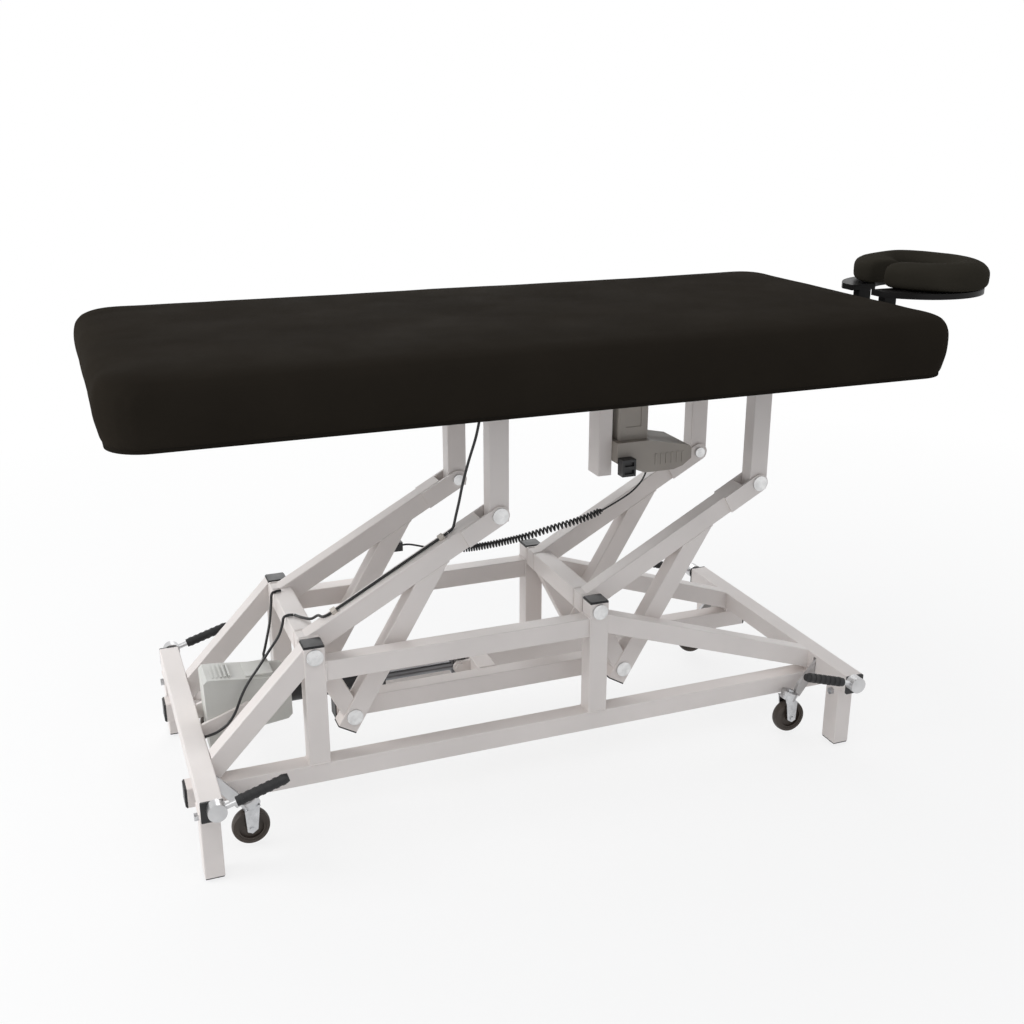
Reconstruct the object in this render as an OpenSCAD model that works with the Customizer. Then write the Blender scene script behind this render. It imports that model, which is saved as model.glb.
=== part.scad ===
// Electric treatment table: a padded top on a parallel-arm lift frame, raised by one linear actuator.
// X runs from the foot end to the head end, Y from the near side to the far side, Z up from the floor.
// The table is drawn as it stands in the photograph: raised, casters tipped up, face cradle level.

/* [Frame tube] */
// Side of the square tube of the base
tube = 45; // [38:1:55]
// Wall of every frame tube
wall = 3; // [2:0.5:4]
// Outer rounding of the tube's edges
corner = 2.5; // [1:0.5:4]
// Height of a tube's plastic cap above the tube
cap_t = 5; // [3:1:8]

/* [Base frame] */
// Length over the two end beams
base_l = 1534; // [1400:1:1700]
// Length of each end beam
base_w = 736; // [640:1:840]
// Height of the end beams' underside above the floor
beam_z = 158; // [140:1:190]
// Distance from a beam's end to the outer face of the side frame
side_in = 150; // [130:1:170]
// Thickness of the plates between the end beams and the lower rails
spacer_t = 10; // [6:1:14]
// How far a lower rail stands out past the end beam
rail_out = 10; // [6:1:20]
// Distance from the foot end to the foot-end uprights
upright_x = 246; // [220:1:280]
// Distance between the foot-end and head-end uprights
pitch = 648; // [600:1:700]
// Height of the uprights' tops above the floor
upright_top = 417; // [400:1:440]
// Height of the upper rails' top faces
upper_rail_z = 383; // [370:1:388]

/* [Legs] */
// Leg tube's size along the base
leg_x = 40; // [35:1:45]
// Leg tube's size across the base
leg_y = 50; // [40:1:60]
// Distance from a beam's end to the leg
leg_in = 29; // [24:1:34]
// Height of the foot pad under the leg
foot_h = 9; // [5:1:15]

/* [Lift arms] */
// Height of the arms' lower pivots
pivot_z = 398; // [390:1:402]
// Distance between an arm's two pivots
arm_l = 491; // [440:1:540]
// Angle of the arms in the drawn pose
arm_a = 29; // [20:1:34]
// Distance from the lower pivot to the tie link's pivot
crank_l = 205; // [190:1:215]
// Angle of the crank below the horizontal
crank_a = 63.5; // [60:0.5:70]
// Depth of the arm and strut tubes
arm_d = 40; // [34:1:44]
// Distance of the long strut's upper end from the lower pivot, along the arm
strut_at = 340; // [300:1:380]
// Gap from the upright to the cross tube's end
side_gap = 4; // [2:0.5:6]
// Thickness of the plates that carry the upper pivots
cheek_t = 6; // [4:1:7]
// Radius of the pivot pins
pin_r = 8; // [6:0.5:10]
// Radius of the pins' round heads
head_r = 18; // [15:1:20]
// Thickness of the pins' round heads
head_t = 5; // [3:0.5:6]

/* [Top] */
// Height of the deck board's underside
deck_z = 916; // [880:1:950]
// Thickness of the deck board
deck_t = 20; // [15:1:25]
// Thickness of the padding
pad_t = 116; // [90:1:130]
// Length of the padded top
top_l = 1800; // [1700:1:1950]
// Width of the padded top
top_w = 860; // [760:1:900]
// How far the top stands out past the base's foot end
top_out = 120; // [80:1:150]
// Corner radius of the padded top
top_r = 95; // [60:1:120]

/* [Face cradle] */
// Width of the face cushion
face_w = 380; // [320:1:400]
// Length of the face cushion
face_l = 342; // [300:1:360]
// Height of the face cushion
face_h = 66; // [50:1:75]
// Gap from the top's head end to the face cushion
face_gap = 10; // [8:1:30]
// Height of the face cushion's underside above the deck's underside
face_up = 134; // [128:1:140]

/* [Casters] */
// Wheel diameter
wheel_d = 80; // [70:1:82]
// Tread width
wheel_w = 26; // [22:1:30]
// Angle from the parked to the rolling position
tip_a = 20; // [16:1:22]
// Height of the levers' shaft above the floor
shaft_z = 189; // [184:1:192]
// Distance of the levers' shaft from the beam's outer face
shaft_x = 30; // [26:1:32]
// Distance from the beam's end to the middle of the caster
caster_y = 126; // [125:1:127]

/* [Actuator] */
// Height of the actuator's axis
act_z = 216; // [206:1:222]
// Distance from the foot end to the actuator's rear pivot
act_x = 150; // [140:1:165]
// Distance between the actuator's two pivots in the drawn pose
act_l = 500; // [480:1:520]
// Width of the motor housing
motor_w = 90; // [80:1:100]
// Radius of the actuator's outer tube
barrel_r = 20; // [16:1:24]
// Radius of the actuator's rod
rod_r = 11; // [8:1:13]

/* [Cords] */
// Diameter of the thin cables
cable_d = 6; // [4:0.5:8]
// Diameter of the curly cord's lead
lead_d = 4.6; // [4:0.2:5.4]
// Outside diameter of the curls
curl_d = 19; // [16:0.5:22]

/* [Hidden] */
$fn = 32;
run = 0.08;      // radial clearance of a turning pin
seat = 0.05;     // radial clearance of a fixed pin
clear = 0.3;     // gap between faces that turn past each other
eps = 1;         // overshoot of a cut

beam_top = beam_z + tube;
rail_top = beam_z - spacer_t;
rail_z = rail_top - tube;
rail_c = side_in + tube / 2;
mid_y = base_w / 2;
upper_rail_c = upper_rail_z - tube / 2;
rail_d = tube - 5;

// pivots of the foot-end arms; the head-end arms are a pitch further on
p1 = [upright_x + tube / 2, pivot_z];
p2 = p1 + arm_l * [cos(arm_a), sin(arm_a)];
p3 = p1 + crank_l * [cos(crank_a), -sin(crank_a)];
joint_at = p1 + strut_at * [cos(arm_a), sin(arm_a)];
strut_v = joint_at - p3;
strut_a = atan2(strut_v[1], strut_v[0]);
strut_l = norm(strut_v);
strut_tail = 32;

cross_y0 = side_in + tube + side_gap;
arm_y0 = cross_y0 + 1 + cheek_t;
arm_c = arm_y0 + arm_d / 2;
tie_y0 = arm_y0 + arm_d + 3 + clear;
tie_d = 40;
tie_c = tie_y0 + tie_d / 2;
tie_h = tube;
post_d = arm_d - 2 * clear;

top_x0 = -top_out;
top_x1 = top_x0 + top_l;
top_y0 = mid_y - top_w / 2;
pad_z0 = deck_z + deck_t + clear;
top_z = pad_z0 + pad_t;
deck_in = 20;
frame_h = 30;

face_x0 = top_x1 + face_gap;
face_z0 = deck_z + face_up;
face_x1 = face_x0 + face_l;

// the origin is the middle of the whole table's outline, on the floor
cx = (top_x0 + face_x1) / 2;
cy = mid_y;

act_b = act_x + act_l;
tie_bar_x = act_b + 26 + tube / 2;

// Places the children in the table's own frame
module placed() {
    translate([-cx, -cy, 0]) children();
}

// Adds the same shape on the far side
module both_sides() {
    children();
    translate([0, base_w, 0]) mirror([0, 1, 0]) children();
}

// Adds the same shape at the head end, mirrored about the middle of the base
module at_end(head) {
    if (head) translate([base_l, 0, 0]) mirror([1, 0, 0]) children();
    else children();
}

// Rounded rectangle about the origin
module soft_square(w, h, r = corner) {
    square([w - 2 * r, h], center = true);
    square([w, h - 2 * r], center = true);
    for (x = [-1, 1], y = [-1, 1])
        translate([x * (w / 2 - r), y * (h / 2 - r)]) circle(r = r);
}

// Section of a square tube
module tube_section(w, h) {
    difference() {
        soft_square(w, h);
        square([w - 2 * wall, h - 2 * wall], center = true);
    }
}

// Tube along X that starts at the origin
module tube_x(l, d = tube, h = tube) {
    rotate([90, 0, 90]) linear_extrude(l) tube_section(d, h);
}

// Tube along Y that starts at the origin
module tube_y(l, w = tube, h = tube) {
    translate([0, l, 0]) rotate([90, 0, 0]) linear_extrude(l) tube_section(w, h);
}

// Tube along Z that starts at the origin
module tube_z(l, w = tube, d = tube) {
    linear_extrude(l) tube_section(w, d);
}

// Cylinder along Y from y to y + l
module rod_y(x, y, z, r, l) {
    translate([x, y + l, z]) rotate([90, 0, 0]) cylinder(r = r, h = l);
}

// Flat shape drawn in X and Z, from y to y + l
module plate_y(y, l) {
    translate([0, y + l, 0]) rotate([90, 0, 0]) linear_extrude(l) children();
}

// Black cap with a low rounded edge, on a tube's end that faces up
module cap_z(w, d) {
    linear_extrude(cap_t - 2) soft_square(w, d);
    translate([0, 0, cap_t - 2]) linear_extrude(2) soft_square(w - 3, d - 3);
}

// End beam, open at both ends, with a slot for each caster's arm
module end_beam() {
    slot_w = 12;
    difference() {
        translate([tube / 2, 0, beam_z + tube / 2]) tube_y(base_w);
        both_sides() translate([shaft_x - 22, caster_y - slot_w / 2, beam_z - eps])
            cube([tube, slot_w, shaft_z - beam_z + 8]);
    }
}

module left_end_beam() {
    color("whitesmoke") placed() end_beam();
}

module right_end_beam() {
    color("whitesmoke") placed() at_end(true) end_beam();
}

// Plug that closes a beam's end and carries the levers' shaft
module beam_cap() {
    inner = tube - 2 * wall - 2 * seat;
    difference() {
        union() {
            plate_y(-cap_t, cap_t) translate([tube / 2, beam_z + tube / 2]) soft_square(tube, tube);
            plate_y(0, 18) translate([tube / 2, beam_z + tube / 2]) square(inner, center = true);
        }
        rod_y(shaft_x, -cap_t - eps, shaft_z, shaft_r + run, cap_t + 18 + 2 * eps);
    }
}

module beam_caps() {
    color("#16171a") placed() for (head = [false, true]) at_end(head) both_sides() beam_cap();
}

// Hollow leg with the bore of its cross bolt
bolt_z = beam_z - 18;
bolt_r = 5;
module leg() {
    difference() {
        translate([leg_x / 2, leg_in + leg_y / 2, foot_h]) tube_z(beam_z - foot_h, leg_x, leg_y);
        translate([-eps, leg_in + leg_y / 2, bolt_z]) rotate([0, 90, 0])
            cylinder(r = bolt_r + seat, h = leg_x + 2 * eps);
    }
}

module legs() {
    color("whitesmoke") placed() for (head = [false, true]) at_end(head) both_sides() leg();
}

// Foot: a plug inside the leg on a round pad
module foot() {
    translate([leg_x / 2, leg_in + leg_y / 2, 0]) {
        cylinder(r1 = 13, r2 = 15, h = foot_h - 3);
        translate([0, 0, foot_h - 3]) linear_extrude(3) soft_square(leg_x - 2, leg_y - 2);
        translate([0, 0, foot_h]) linear_extrude(16)
            square([leg_x - 2 * wall - 2 * seat, leg_y - 2 * wall - 2 * seat], center = true);
    }
}

module foot_pads() {
    color("#202124") placed() for (head = [false, true]) at_end(head) both_sides() foot();
}

// Cross bolt of a leg: hexagon head outside, nut inside
module leg_bolt() {
    translate([0, leg_in + leg_y / 2, bolt_z]) rotate([0, 90, 0]) {
        translate([0, 0, -8]) cylinder(r = 9, h = 8, $fn = 6);
        translate([0, 0, -1]) cylinder(r = bolt_r, h = leg_x + 10);
        translate([0, 0, leg_x]) cylinder(r = 9, h = 8, $fn = 6);
    }
}

// Lower rails with the plates that weld them to the end beams
module lower_rails() {
    color("whitesmoke") placed() {
        both_sides() translate([-rail_out, rail_c, rail_z + tube / 2]) tube_x(base_l + 2 * rail_out);
        for (head = [false, true]) at_end(head) both_sides()
            translate([2, side_in + 2, rail_top]) cube([tube - 4, tube - 4, spacer_t]);
    }
}

// Black caps on the uprights and in the lower rails' ends, and the gland of the cable on the beam
gland = [tube, mid_y - 62, 176];
module frame_caps() {
    color("#16171a") placed() {
        translate(gland) rotate([0, 90, 0]) cylinder(r1 = 7, r2 = 5, h = 4);
        for (head = [0, 1]) both_sides()
            translate([p1[0] + head * pitch, rail_c, upright_top]) cap_z(tube, tube);
        for (head = [false, true]) at_end(head) both_sides()
            translate([-rail_out, rail_c, rail_z + tube / 2]) rotate([0, -90, 0]) cap_z(tube, tube);
    }
}

// Upright with the bearing of an arm's lower pivot
module upright() {
    bearing_r = pin_r + 5;
    difference() {
        union() {
            translate([p1[0], rail_c, rail_top]) tube_z(upright_top - rail_top);
            rod_y(p1[0], side_in + wall / 2, pivot_z, bearing_r, tube - wall);
        }
        rod_y(p1[0], side_in - eps, pivot_z, pin_r + run, tube + 2 * eps);
    }
}

module uprights() {
    color("whitesmoke") placed() for (head = [0, 1]) both_sides() translate([head * pitch, 0, 0]) upright();
}

module upper_rails() {
    color("whitesmoke") placed() both_sides()
        translate([upright_x + tube, rail_c, upper_rail_c]) tube_x(pitch - tube, rail_d);
}

// Brace from an upright down to the end beam's inner face, with its heights at both
module brace(x_up, high, x_beam, low) {
    a = atan2(high - low, x_up - x_beam);
    reach = norm([x_up - x_beam, high - low]) + 2 * tube;
    difference() {
        translate([x_beam, rail_c, low]) rotate([0, -a, 0]) translate([-tube, 0, 0]) tube_x(reach, rail_d);
        translate([x_beam > x_up ? x_beam : x_beam - 3 * tube, side_in - eps, 0])
            cube([3 * tube, tube + 2 * eps, upright_top]);
        translate([x_beam > x_up ? x_up - 3 * tube : x_up, side_in - eps, 0])
            cube([3 * tube, tube + 2 * eps, 2 * upright_top]);
        translate([-base_l / 2, side_in - eps, rail_top - tube])
            cube([2 * base_l, tube + 2 * eps, tube]);
    }
}

module braces() {
    color("whitesmoke") placed() both_sides() {
        brace(upright_x, upright_top - 32, tube, beam_z + 17);
        brace(upright_x + pitch + tube, upright_top - 54, base_l - tube, beam_z + 23);
    }
}

// Lugs on the foot-end beam that carry the actuator's rear pivot
lug_t = 8;
lug_r = 20;
bolt_pin_r = 6;
module actuator_lug() {
    difference() {
        plate_y(mid_y - motor_w / 2 - clear - lug_t, lug_t) {
            translate([act_x, act_z]) circle(r = lug_r);
            polygon([
                [tube, beam_z + 6],
                [act_x + 8, act_z - lug_r + 2],
                [act_x, act_z + lug_r],
                [tube, beam_top - 4],
            ]);
        }
        rod_y(act_x, mid_y - motor_w, act_z, bolt_pin_r + seat, motor_w);
    }
}

module actuator_bracket() {
    color("whitesmoke") placed() both_sides() actuator_lug();
}

// The legs' bolts and the actuator's rear bolt
module frame_bolts() {
    reach = motor_w / 2 + clear + lug_t;
    color("silver") placed() {
        for (head = [false, true]) at_end(head) both_sides() leg_bolt();
        rod_y(act_x, mid_y - reach, act_z, bolt_pin_r, 2 * reach);
        both_sides() rod_y(act_x, mid_y - reach - 6, act_z, 10, 6);
    }
}

// Cross tube of an arm pair, with solid ends for the pivot pins
module cross_tube() {
    plug = 14;
    span = base_w - 2 * cross_y0;
    difference() {
        translate([p1[0], cross_y0, pivot_z]) {
            tube_y(span);
            for (y = [0, span - plug])
                translate([-tube / 2 + wall / 2, y, -tube / 2 + wall / 2])
                    cube([tube - wall, plug, tube - wall]);
        }
        both_sides() rod_y(p1[0], cross_y0 - eps, pivot_z, pin_r + seat, plug + 2 * eps);
    }
}

module left_cross_tube() {
    color("whitesmoke") placed() cross_tube();
}

module right_cross_tube() {
    color("whitesmoke") placed() translate([pitch, 0, 0]) cross_tube();
}

// Places the children in an arm's own frame, X along the arm from its lower pivot
module along_arm(y) {
    translate([p1[0], y, p1[1]]) rotate([0, -arm_a, 0]) children();
}

// Arm: a tube from the cross tube to the post, with two plates that hold the upper pivot
module arm() {
    tube_end = arm_l - 40;
    cheek_l = 92;
    difference() {
        union() {
            along_arm(arm_c) tube_x(tube_end, arm_d);
            for (y = [-arm_d / 2 - cheek_t, arm_d / 2])
                along_arm(arm_c + y) plate_y(0, cheek_t) {
                    translate([arm_l, 0]) circle(r = tube / 2 - 1);
                    translate([arm_l - cheek_l, -tube / 2 + 1]) square([cheek_l, tube - 2]);
                }
        }
        translate([p1[0] - 2 * tube, arm_y0 - eps, 0])
            cube([2.5 * tube, arm_d + 2 * eps, pivot_z + tube / 2]);
        along_arm(0) rod_y(arm_l, arm_y0 - cheek_t - eps, 0, pin_r + seat, arm_d + 2 * cheek_t + 2 * eps);
    }
}

module left_arms() {
    color("whitesmoke") placed() both_sides() arm();
}

module right_arms() {
    color("whitesmoke") placed() both_sides() translate([pitch, 0, 0]) arm();
}

// Envelope of the long strut, inside its walls by the depth of the weld
weld = 1;
module strut_body() {
    translate([p3[0], arm_c, p3[1]]) rotate([0, -strut_a, 0])
        translate([-strut_tail, -arm_d, weld - tube / 2])
            cube([strut_l + strut_tail, 2 * arm_d, tube - 2 * weld]);
}

// Envelope of the arm's tube, grown sideways only
module arm_body() {
    along_arm(arm_c) translate([0, -arm_d, -tube / 2]) cube([arm_l, 2 * arm_d, 2 * tube]);
}

// Long strut from the tie link's pivot up to the arm's underside
module long_strut() {
    difference() {
        translate([p3[0], arm_c, p3[1]]) rotate([0, -strut_a, 0])
            translate([-strut_tail, 0, 0]) tube_x(strut_l + strut_tail, arm_d);
        arm_body();
        rod_y(p3[0], arm_y0 - eps, p3[1], pin_r + seat, arm_d + 2 * eps);
    }
}

// Short strut from the cross tube down to the long strut's side
module short_strut() {
    difference() {
        translate([p1[0], arm_c, p1[1]]) rotate([0, crank_a, 0]) tube_x(crank_l, arm_d - 6, tube - 4);
        strut_body();
        translate([p1[0] - tube, arm_y0 - eps, p1[1] - tube / 2]) cube([2 * tube, arm_d + 2 * eps, 2 * tube]);
    }
}

module strut_pair() {
    both_sides() long_strut();
    both_sides() short_strut();
}

module left_struts() {
    color("whitesmoke") placed() strut_pair();
}

module right_struts() {
    color("whitesmoke") placed() translate([pitch, 0, 0]) strut_pair();
}

// Lower pivot pin: round head outside the upright, washer against the cross tube
module lower_pin() {
    head_y = side_in - clear - head_t;
    rod_y(p1[0], head_y, p1[1], head_r, head_t);
    rod_y(p1[0], head_y + 1, p1[1], pin_r, cross_y0 + 12 - head_y - 1);
    rod_y(p1[0], side_in + tube + clear, p1[1], pin_r + 6, side_gap - clear);
}

// Upper pivot pin: round head outside the arm's plate, nut inside
module upper_pin() {
    y0 = arm_y0 - cheek_t;
    y1 = arm_y0 + arm_d + cheek_t;
    rod_y(p2[0], y0 - head_t + 1.5, p2[1], head_r, head_t - 1.5);
    rod_y(p2[0], y0 - 1, p2[1], pin_r, y1 - y0 + 4);
    rod_y(p2[0], y1, p2[1], pin_r + 5, 6);
}

// Tie link's pin: round head outside the strut, spacer ring, nut inside the link
module tie_pin() {
    y0 = arm_y0;
    y1 = tie_y0 + tie_d + clear;
    rod_y(p3[0], y0 - head_t, p3[1], head_r, head_t);
    rod_y(p3[0], y0 - 1, p3[1], pin_r, y1 - y0 + 4);
    rod_y(p3[0], arm_y0 + arm_d, p3[1], pin_r + 6, tie_y0 - arm_y0 - arm_d - clear);
    rod_y(p3[0], y1, p3[1], pin_r + 5, 6);
}

module pin_set() {
    both_sides() {
        lower_pin();
        upper_pin();
        tie_pin();
    }
}

module left_pins() {
    color("white") placed() pin_set();
}

module right_pins() {
    color("white") placed() translate([pitch, 0, 0]) pin_set();
}

// Black plugs in the struts' lower ends
module plug_pair() {
    both_sides() translate([p3[0], arm_c, p3[1]]) rotate([0, -strut_a, 0]) translate([-strut_tail, 0, 0])
        rotate([0, -90, 0]) linear_extrude(3) soft_square(tube, arm_d);
}

module left_plugs() {
    color("#16171a") placed() plug_pair();
}

module right_plugs() {
    color("#16171a") placed() translate([pitch, 0, 0]) plug_pair();
}

// Tie link between the two crank pivots, with a bushing at each end
tie_over = 30;
module tie_link() {
    difference() {
        union() {
            translate([p3[0] - tie_over, tie_c, p3[1]]) tube_x(pitch + 2 * tie_over, tie_d, tie_h);
            for (x = [0, pitch]) rod_y(p3[0] + x, tie_y0 + wall / 2, p3[1], pin_r + 5, tie_d - wall);
        }
        rod_y(p3[0], tie_y0 - eps, p3[1], pin_r + run, tie_d + 2 * eps);
        rod_y(p3[0] + pitch, tie_y0 - eps, p3[1], pin_r + clear, tie_d + 2 * eps);
    }
}

module tie_links() {
    color("whitesmoke") placed() both_sides() tie_link();
}

module tie_plugs() {
    color("#16171a") placed() both_sides() {
        translate([p3[0] - tie_over, tie_c, p3[1]]) rotate([0, -90, 0]) linear_extrude(3)
            soft_square(tie_h, tie_d);
        translate([p3[0] + pitch + tie_over, tie_c, p3[1]]) rotate([0, 90, 0]) linear_extrude(3)
            soft_square(tie_h, tie_d);
    }
}

module tie_cross_tube() {
    color("whitesmoke") placed() translate([tie_bar_x, tie_y0 + tie_d, p3[1]])
        tube_y(base_w - 2 * (tie_y0 + tie_d));
}

// Pair of lugs on the tie's cross tube with the pin that the actuator pushes
eye_t = 18;
lug_gap = rod_r + 1;
push_r = 7;
module tie_lugs() {
    face_x = tie_bar_x - tube / 2;
    color("whitesmoke") placed() {
        both_sides() plate_y(mid_y - lug_gap - lug_t, lug_t) {
            translate([act_b, act_z]) circle(r = 15);
            translate([act_b, act_z - 15]) square([face_x - act_b, 30]);
        }
        rod_y(act_b, mid_y - lug_gap - lug_t - 5, act_z, push_r, 2 * (lug_gap + lug_t + 5));
        both_sides() rod_y(act_b, mid_y - lug_gap - lug_t - 5, act_z, push_r + 4, 5);
    }
}

// Post from an arm's upper pivot to the deck frame
module post() {
    foot = 17;
    difference() {
        union() {
            translate([p2[0], arm_c, p2[1] - foot]) tube_z(deck_z - frame_h - p2[1] + foot, tube, post_d);
            rod_y(p2[0], arm_c - post_d / 2 + wall / 2, p2[1], pin_r + 5, post_d - wall);
        }
        rod_y(p2[0], arm_y0 - eps, p2[1], pin_r + run, arm_d + 2 * eps);
    }
}

// The head-end posts hang on the opened pivots, so their bores are wider
module open_post() {
    difference() {
        translate([pitch, 0, 0]) post();
        rod_y(p2[0] + pitch, arm_y0 - eps, p2[1], pin_r + clear, arm_d + 2 * eps);
    }
}

module posts() {
    color("whitesmoke") placed() both_sides() {
        post();
        open_post();
    }
}

// Two long rails and four cross rails under the deck board
frame_x0 = 70;
frame_x1 = top_x1 - 210;
frame_c = deck_z - frame_h / 2;
module deck_rails() {
    color("whitesmoke") placed() both_sides()
        translate([frame_x0, arm_c, frame_c]) tube_x(frame_x1 - frame_x0, arm_d, frame_h);
}

module deck_cross_rails() {
    span = base_w - 2 * (arm_y0 + arm_d);
    color("whitesmoke") placed() for (x = [frame_x0 + tube / 2, p2[0], control_x, frame_x1 - tube / 2])
        translate([x, arm_y0 + arm_d, frame_c]) tube_y(span, tube, frame_h);
}

// Deck board with rounded corners
module deck_board() {
    color("#2a2622") placed() translate([(top_x0 + top_x1) / 2, mid_y, deck_z]) linear_extrude(deck_t)
        soft_square(top_l - 2 * deck_in, top_w - 2 * deck_in, top_r - deck_in);
}

// Points of a rounded rectangle about the origin, drawn in by d
arc_steps = 7;
function ring(l, w, r, d, z) = [
    for (q = [0:3], k = [0:arc_steps])
        let (
            sx = (q == 0 || q == 3) ? 1 : -1,
            sy = q < 2 ? 1 : -1,
            a = q * 90 + k * 90 / arc_steps,
            rr = max(r - d, 4),
            off = max(d - (r - 4), 0)
        )
        [sx * (l / 2 - r - off) + rr * cos(a), sy * (w / 2 - r - off) + rr * sin(a), z],
];

// Closed solid through a stack of rings with n points each
module stacked(rings) {
    n = len(rings[0]);
    m = len(rings);
    polyhedron(
        points = [for (r = rings) each r],
        faces = [
            [for (i = [0:n - 1]) i],
            [for (i = [n - 1:-1:0]) (m - 1) * n + i],
            for (j = [0:m - 2], i = [0:n - 1]) each [
                [j * n + i, (j + 1) * n + i, j * n + (i + 1) % n],
                [j * n + (i + 1) % n, (j + 1) * n + i, (j + 1) * n + (i + 1) % n],
            ],
        ]
    );
}

// Padding: drawn-in lower edge, slightly hollow side, rolled shoulder and a low crown.
// Each pair is how far the ring is drawn in and its height as a share of the padding's.
pad_shape = [
    [7, 0], [1.5, 0.07], [0, 0.2], [1, 0.42], [0, 0.6], [4, 0.74], [13, 0.85], [28, 0.92], [52, 0.955],
    [110, 0.98], [200, 0.993], [300, 1],
];
module top_pad() {
    color("#2d2a24") placed() translate([(top_x0 + top_x1) / 2, mid_y, pad_z0])
        stacked([for (s = pad_shape) ring(top_l, top_w, top_r, s[0], s[1] * pad_t)]);
}

// Bracket of the lift's control box, under the deck frame
control_x = 1074;
box_x0 = 1024;
box_y0 = 302;
box_d = 128;
box_z0 = 661;
box_top = 738;
hanger_w = 34;
hanger_t = 4;
hanger_z = deck_z - frame_h - hanger_t;
module control_bracket() {
    low = box_z0 - 6;
    color("whitesmoke") placed() {
        translate([box_x0 - hanger_w / 2, 359, low]) linear_extrude(hanger_z - low)
            tube_section(hanger_w, 58);
        translate([box_x0 - hanger_w, 330, hanger_z])
            cube([control_x + tube / 2 - box_x0 + hanger_w, 58, hanger_t]);
    }
}

// Control box with its sloped end, cooling ribs, and the raised part that bolts under the bracket
module control_box() {
    slope = [
        [box_x0, box_top], [1108, box_top], [1212, 716], [1218, 708], [1218, 684], [1196, 668],
        [1172, box_z0], [1096, box_z0], [box_x0, 690],
    ];
    riser_y = box_y0 + 63;
    color("#8f8b84") placed() {
        plate_y(box_y0, box_d) polygon(slope);
        difference() {
            translate([control_x, riser_y, box_top - 1]) linear_extrude(hanger_z - box_top + 1)
                soft_square(78, 84, 6);
            translate([control_x - 20, riser_y - 43, box_top + 30]) cube([40, 3, 50]);
        }
        for (x = [1122:14:1192]) translate([x, box_y0 - 1.5, 678]) cube([6, 3, 26]);
    }
}

// Plug row on the box's near face, and the strain relief of the curly cord
cord_out = [1150, 400, 634];
module cord_fittings() {
    relief = box_z0 - 5 - cord_out[2];
    color("#17181a") placed() {
        difference() {
            translate([box_x0 + 2, box_y0 - 26, 664]) cube([34, 26, 40]);
            for (z = [670, 688]) translate([box_x0 + 7, box_y0 - 27, z]) cube([24, 7, 10]);
        }
        translate([cord_out[0], cord_out[1], cord_out[2]]) cylinder(r1 = lead_d / 2 + 2, r2 = 8, h = relief);
        translate([cord_out[0], cord_out[1], box_z0 - 5]) cylinder(r = 11, h = 5);
    }
}

// Sockets of the face cradle's rods, under the deck's head end
rod_gap = 180;
socket_r = 12;
cradle_r = 8;
socket_z = deck_z - socket_r - 1;
socket_x0 = top_x1 - 190;
module cradle_sockets() {
    color("#1c1d20") placed() both_sides() difference() {
        union() {
            translate([socket_x0, mid_y - rod_gap / 2, socket_z]) rotate([0, 90, 0])
                cylinder(r = socket_r, h = 170);
            for (x = [10, 130])
                translate([socket_x0 + x, mid_y - rod_gap / 2 - 22, deck_z - 6]) cube([24, 44, 6]);
        }
        translate([socket_x0 + 12, mid_y - rod_gap / 2, socket_z]) rotate([0, 90, 0])
            cylinder(r = cradle_r + run, h = 170);
    }
}

// Rods of the face cradle, bent up beyond the head end to the hinge block
hinge_x = face_x0 + 60;
hinge_z = face_z0 - 44;
module cradle_rods() {
    x0 = socket_x0 + 80;
    color("#1c1d20") placed() {
        both_sides() {
            translate([x0, mid_y - rod_gap / 2, socket_z]) rotate([0, 90, 0])
                cylinder(r = cradle_r, h = hinge_x - x0);
            translate([hinge_x, mid_y - rod_gap / 2, socket_z]) {
                sphere(r = cradle_r);
                cylinder(r = cradle_r, h = hinge_z - socket_z);
            }
        }
        rod_y(hinge_x, mid_y - rod_gap / 2 - 16, hinge_z, 10, rod_gap + 32);
    }
}

// Hinge straps that turn on the cradle's cross rod and hold the plate
module cradle_hinge() {
    color("#1c1d20") placed() both_sides() difference() {
        plate_y(mid_y - 62, 24) {
            translate([hinge_x, hinge_z]) circle(r = 17);
            translate([hinge_x - 17, hinge_z]) square([34, face_z0 - 14 - hinge_z]);
        }
        rod_y(hinge_x, mid_y - 70, hinge_z, 10 + run, 40);
    }
}

// Plate under the face cushion, a flat horseshoe
face_c = [face_x0 + face_l / 2, mid_y];
module horseshoe(l, w, band) {
    difference() {
        translate(face_c) intersection() {
            circle(r = w / 2);
            square([l, w], center = true);
        }
        translate(face_c) circle(r = w / 2 - band);
        translate([face_x0 - eps, mid_y - 38]) square([band + 30, 76]);
    }
}

module cradle_plate() {
    color("#1c1d20") placed() translate([0, 0, face_z0 - 14]) linear_extrude(14 - clear)
        horseshoe(face_l - 40, face_w - 40, 80);
}

// Face cushion: a round-bodied horseshoe, open towards the table, swept round its middle line
face_turn = 305;
face_steps = 30;
face_sides = 14;
function face_ring(t) =
    let (
        a = -180 + (360 - face_turn) / 2 + t * face_turn,
        band = 104,
        swell = min(1, 0.55 + 2.6 * min(t, 1 - t)),
        rx = face_l / 2 - band / 2,
        ry = face_w / 2 - band / 2
    )
    [
        for (k = [0:face_sides - 1])
            let (
                b = k * 360 / face_sides,
                out = band / 2 * swell * cos(b),
                up = face_h / 2 * sin(b) * (sin(b) > 0 ? 0.9 : 1) * (0.8 + 0.2 * swell)
            )
            [(rx + out) * cos(a), (ry + out) * sin(a), up],
    ];

module cradle_pad() {
    color("#2a2722") placed() translate([face_c[0], face_c[1], face_z0 + face_h / 2 * 0.88])
        mirror([0, 0, 1]) stacked([for (i = [0:face_steps]) face_ring(i / face_steps)]);
}

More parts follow.
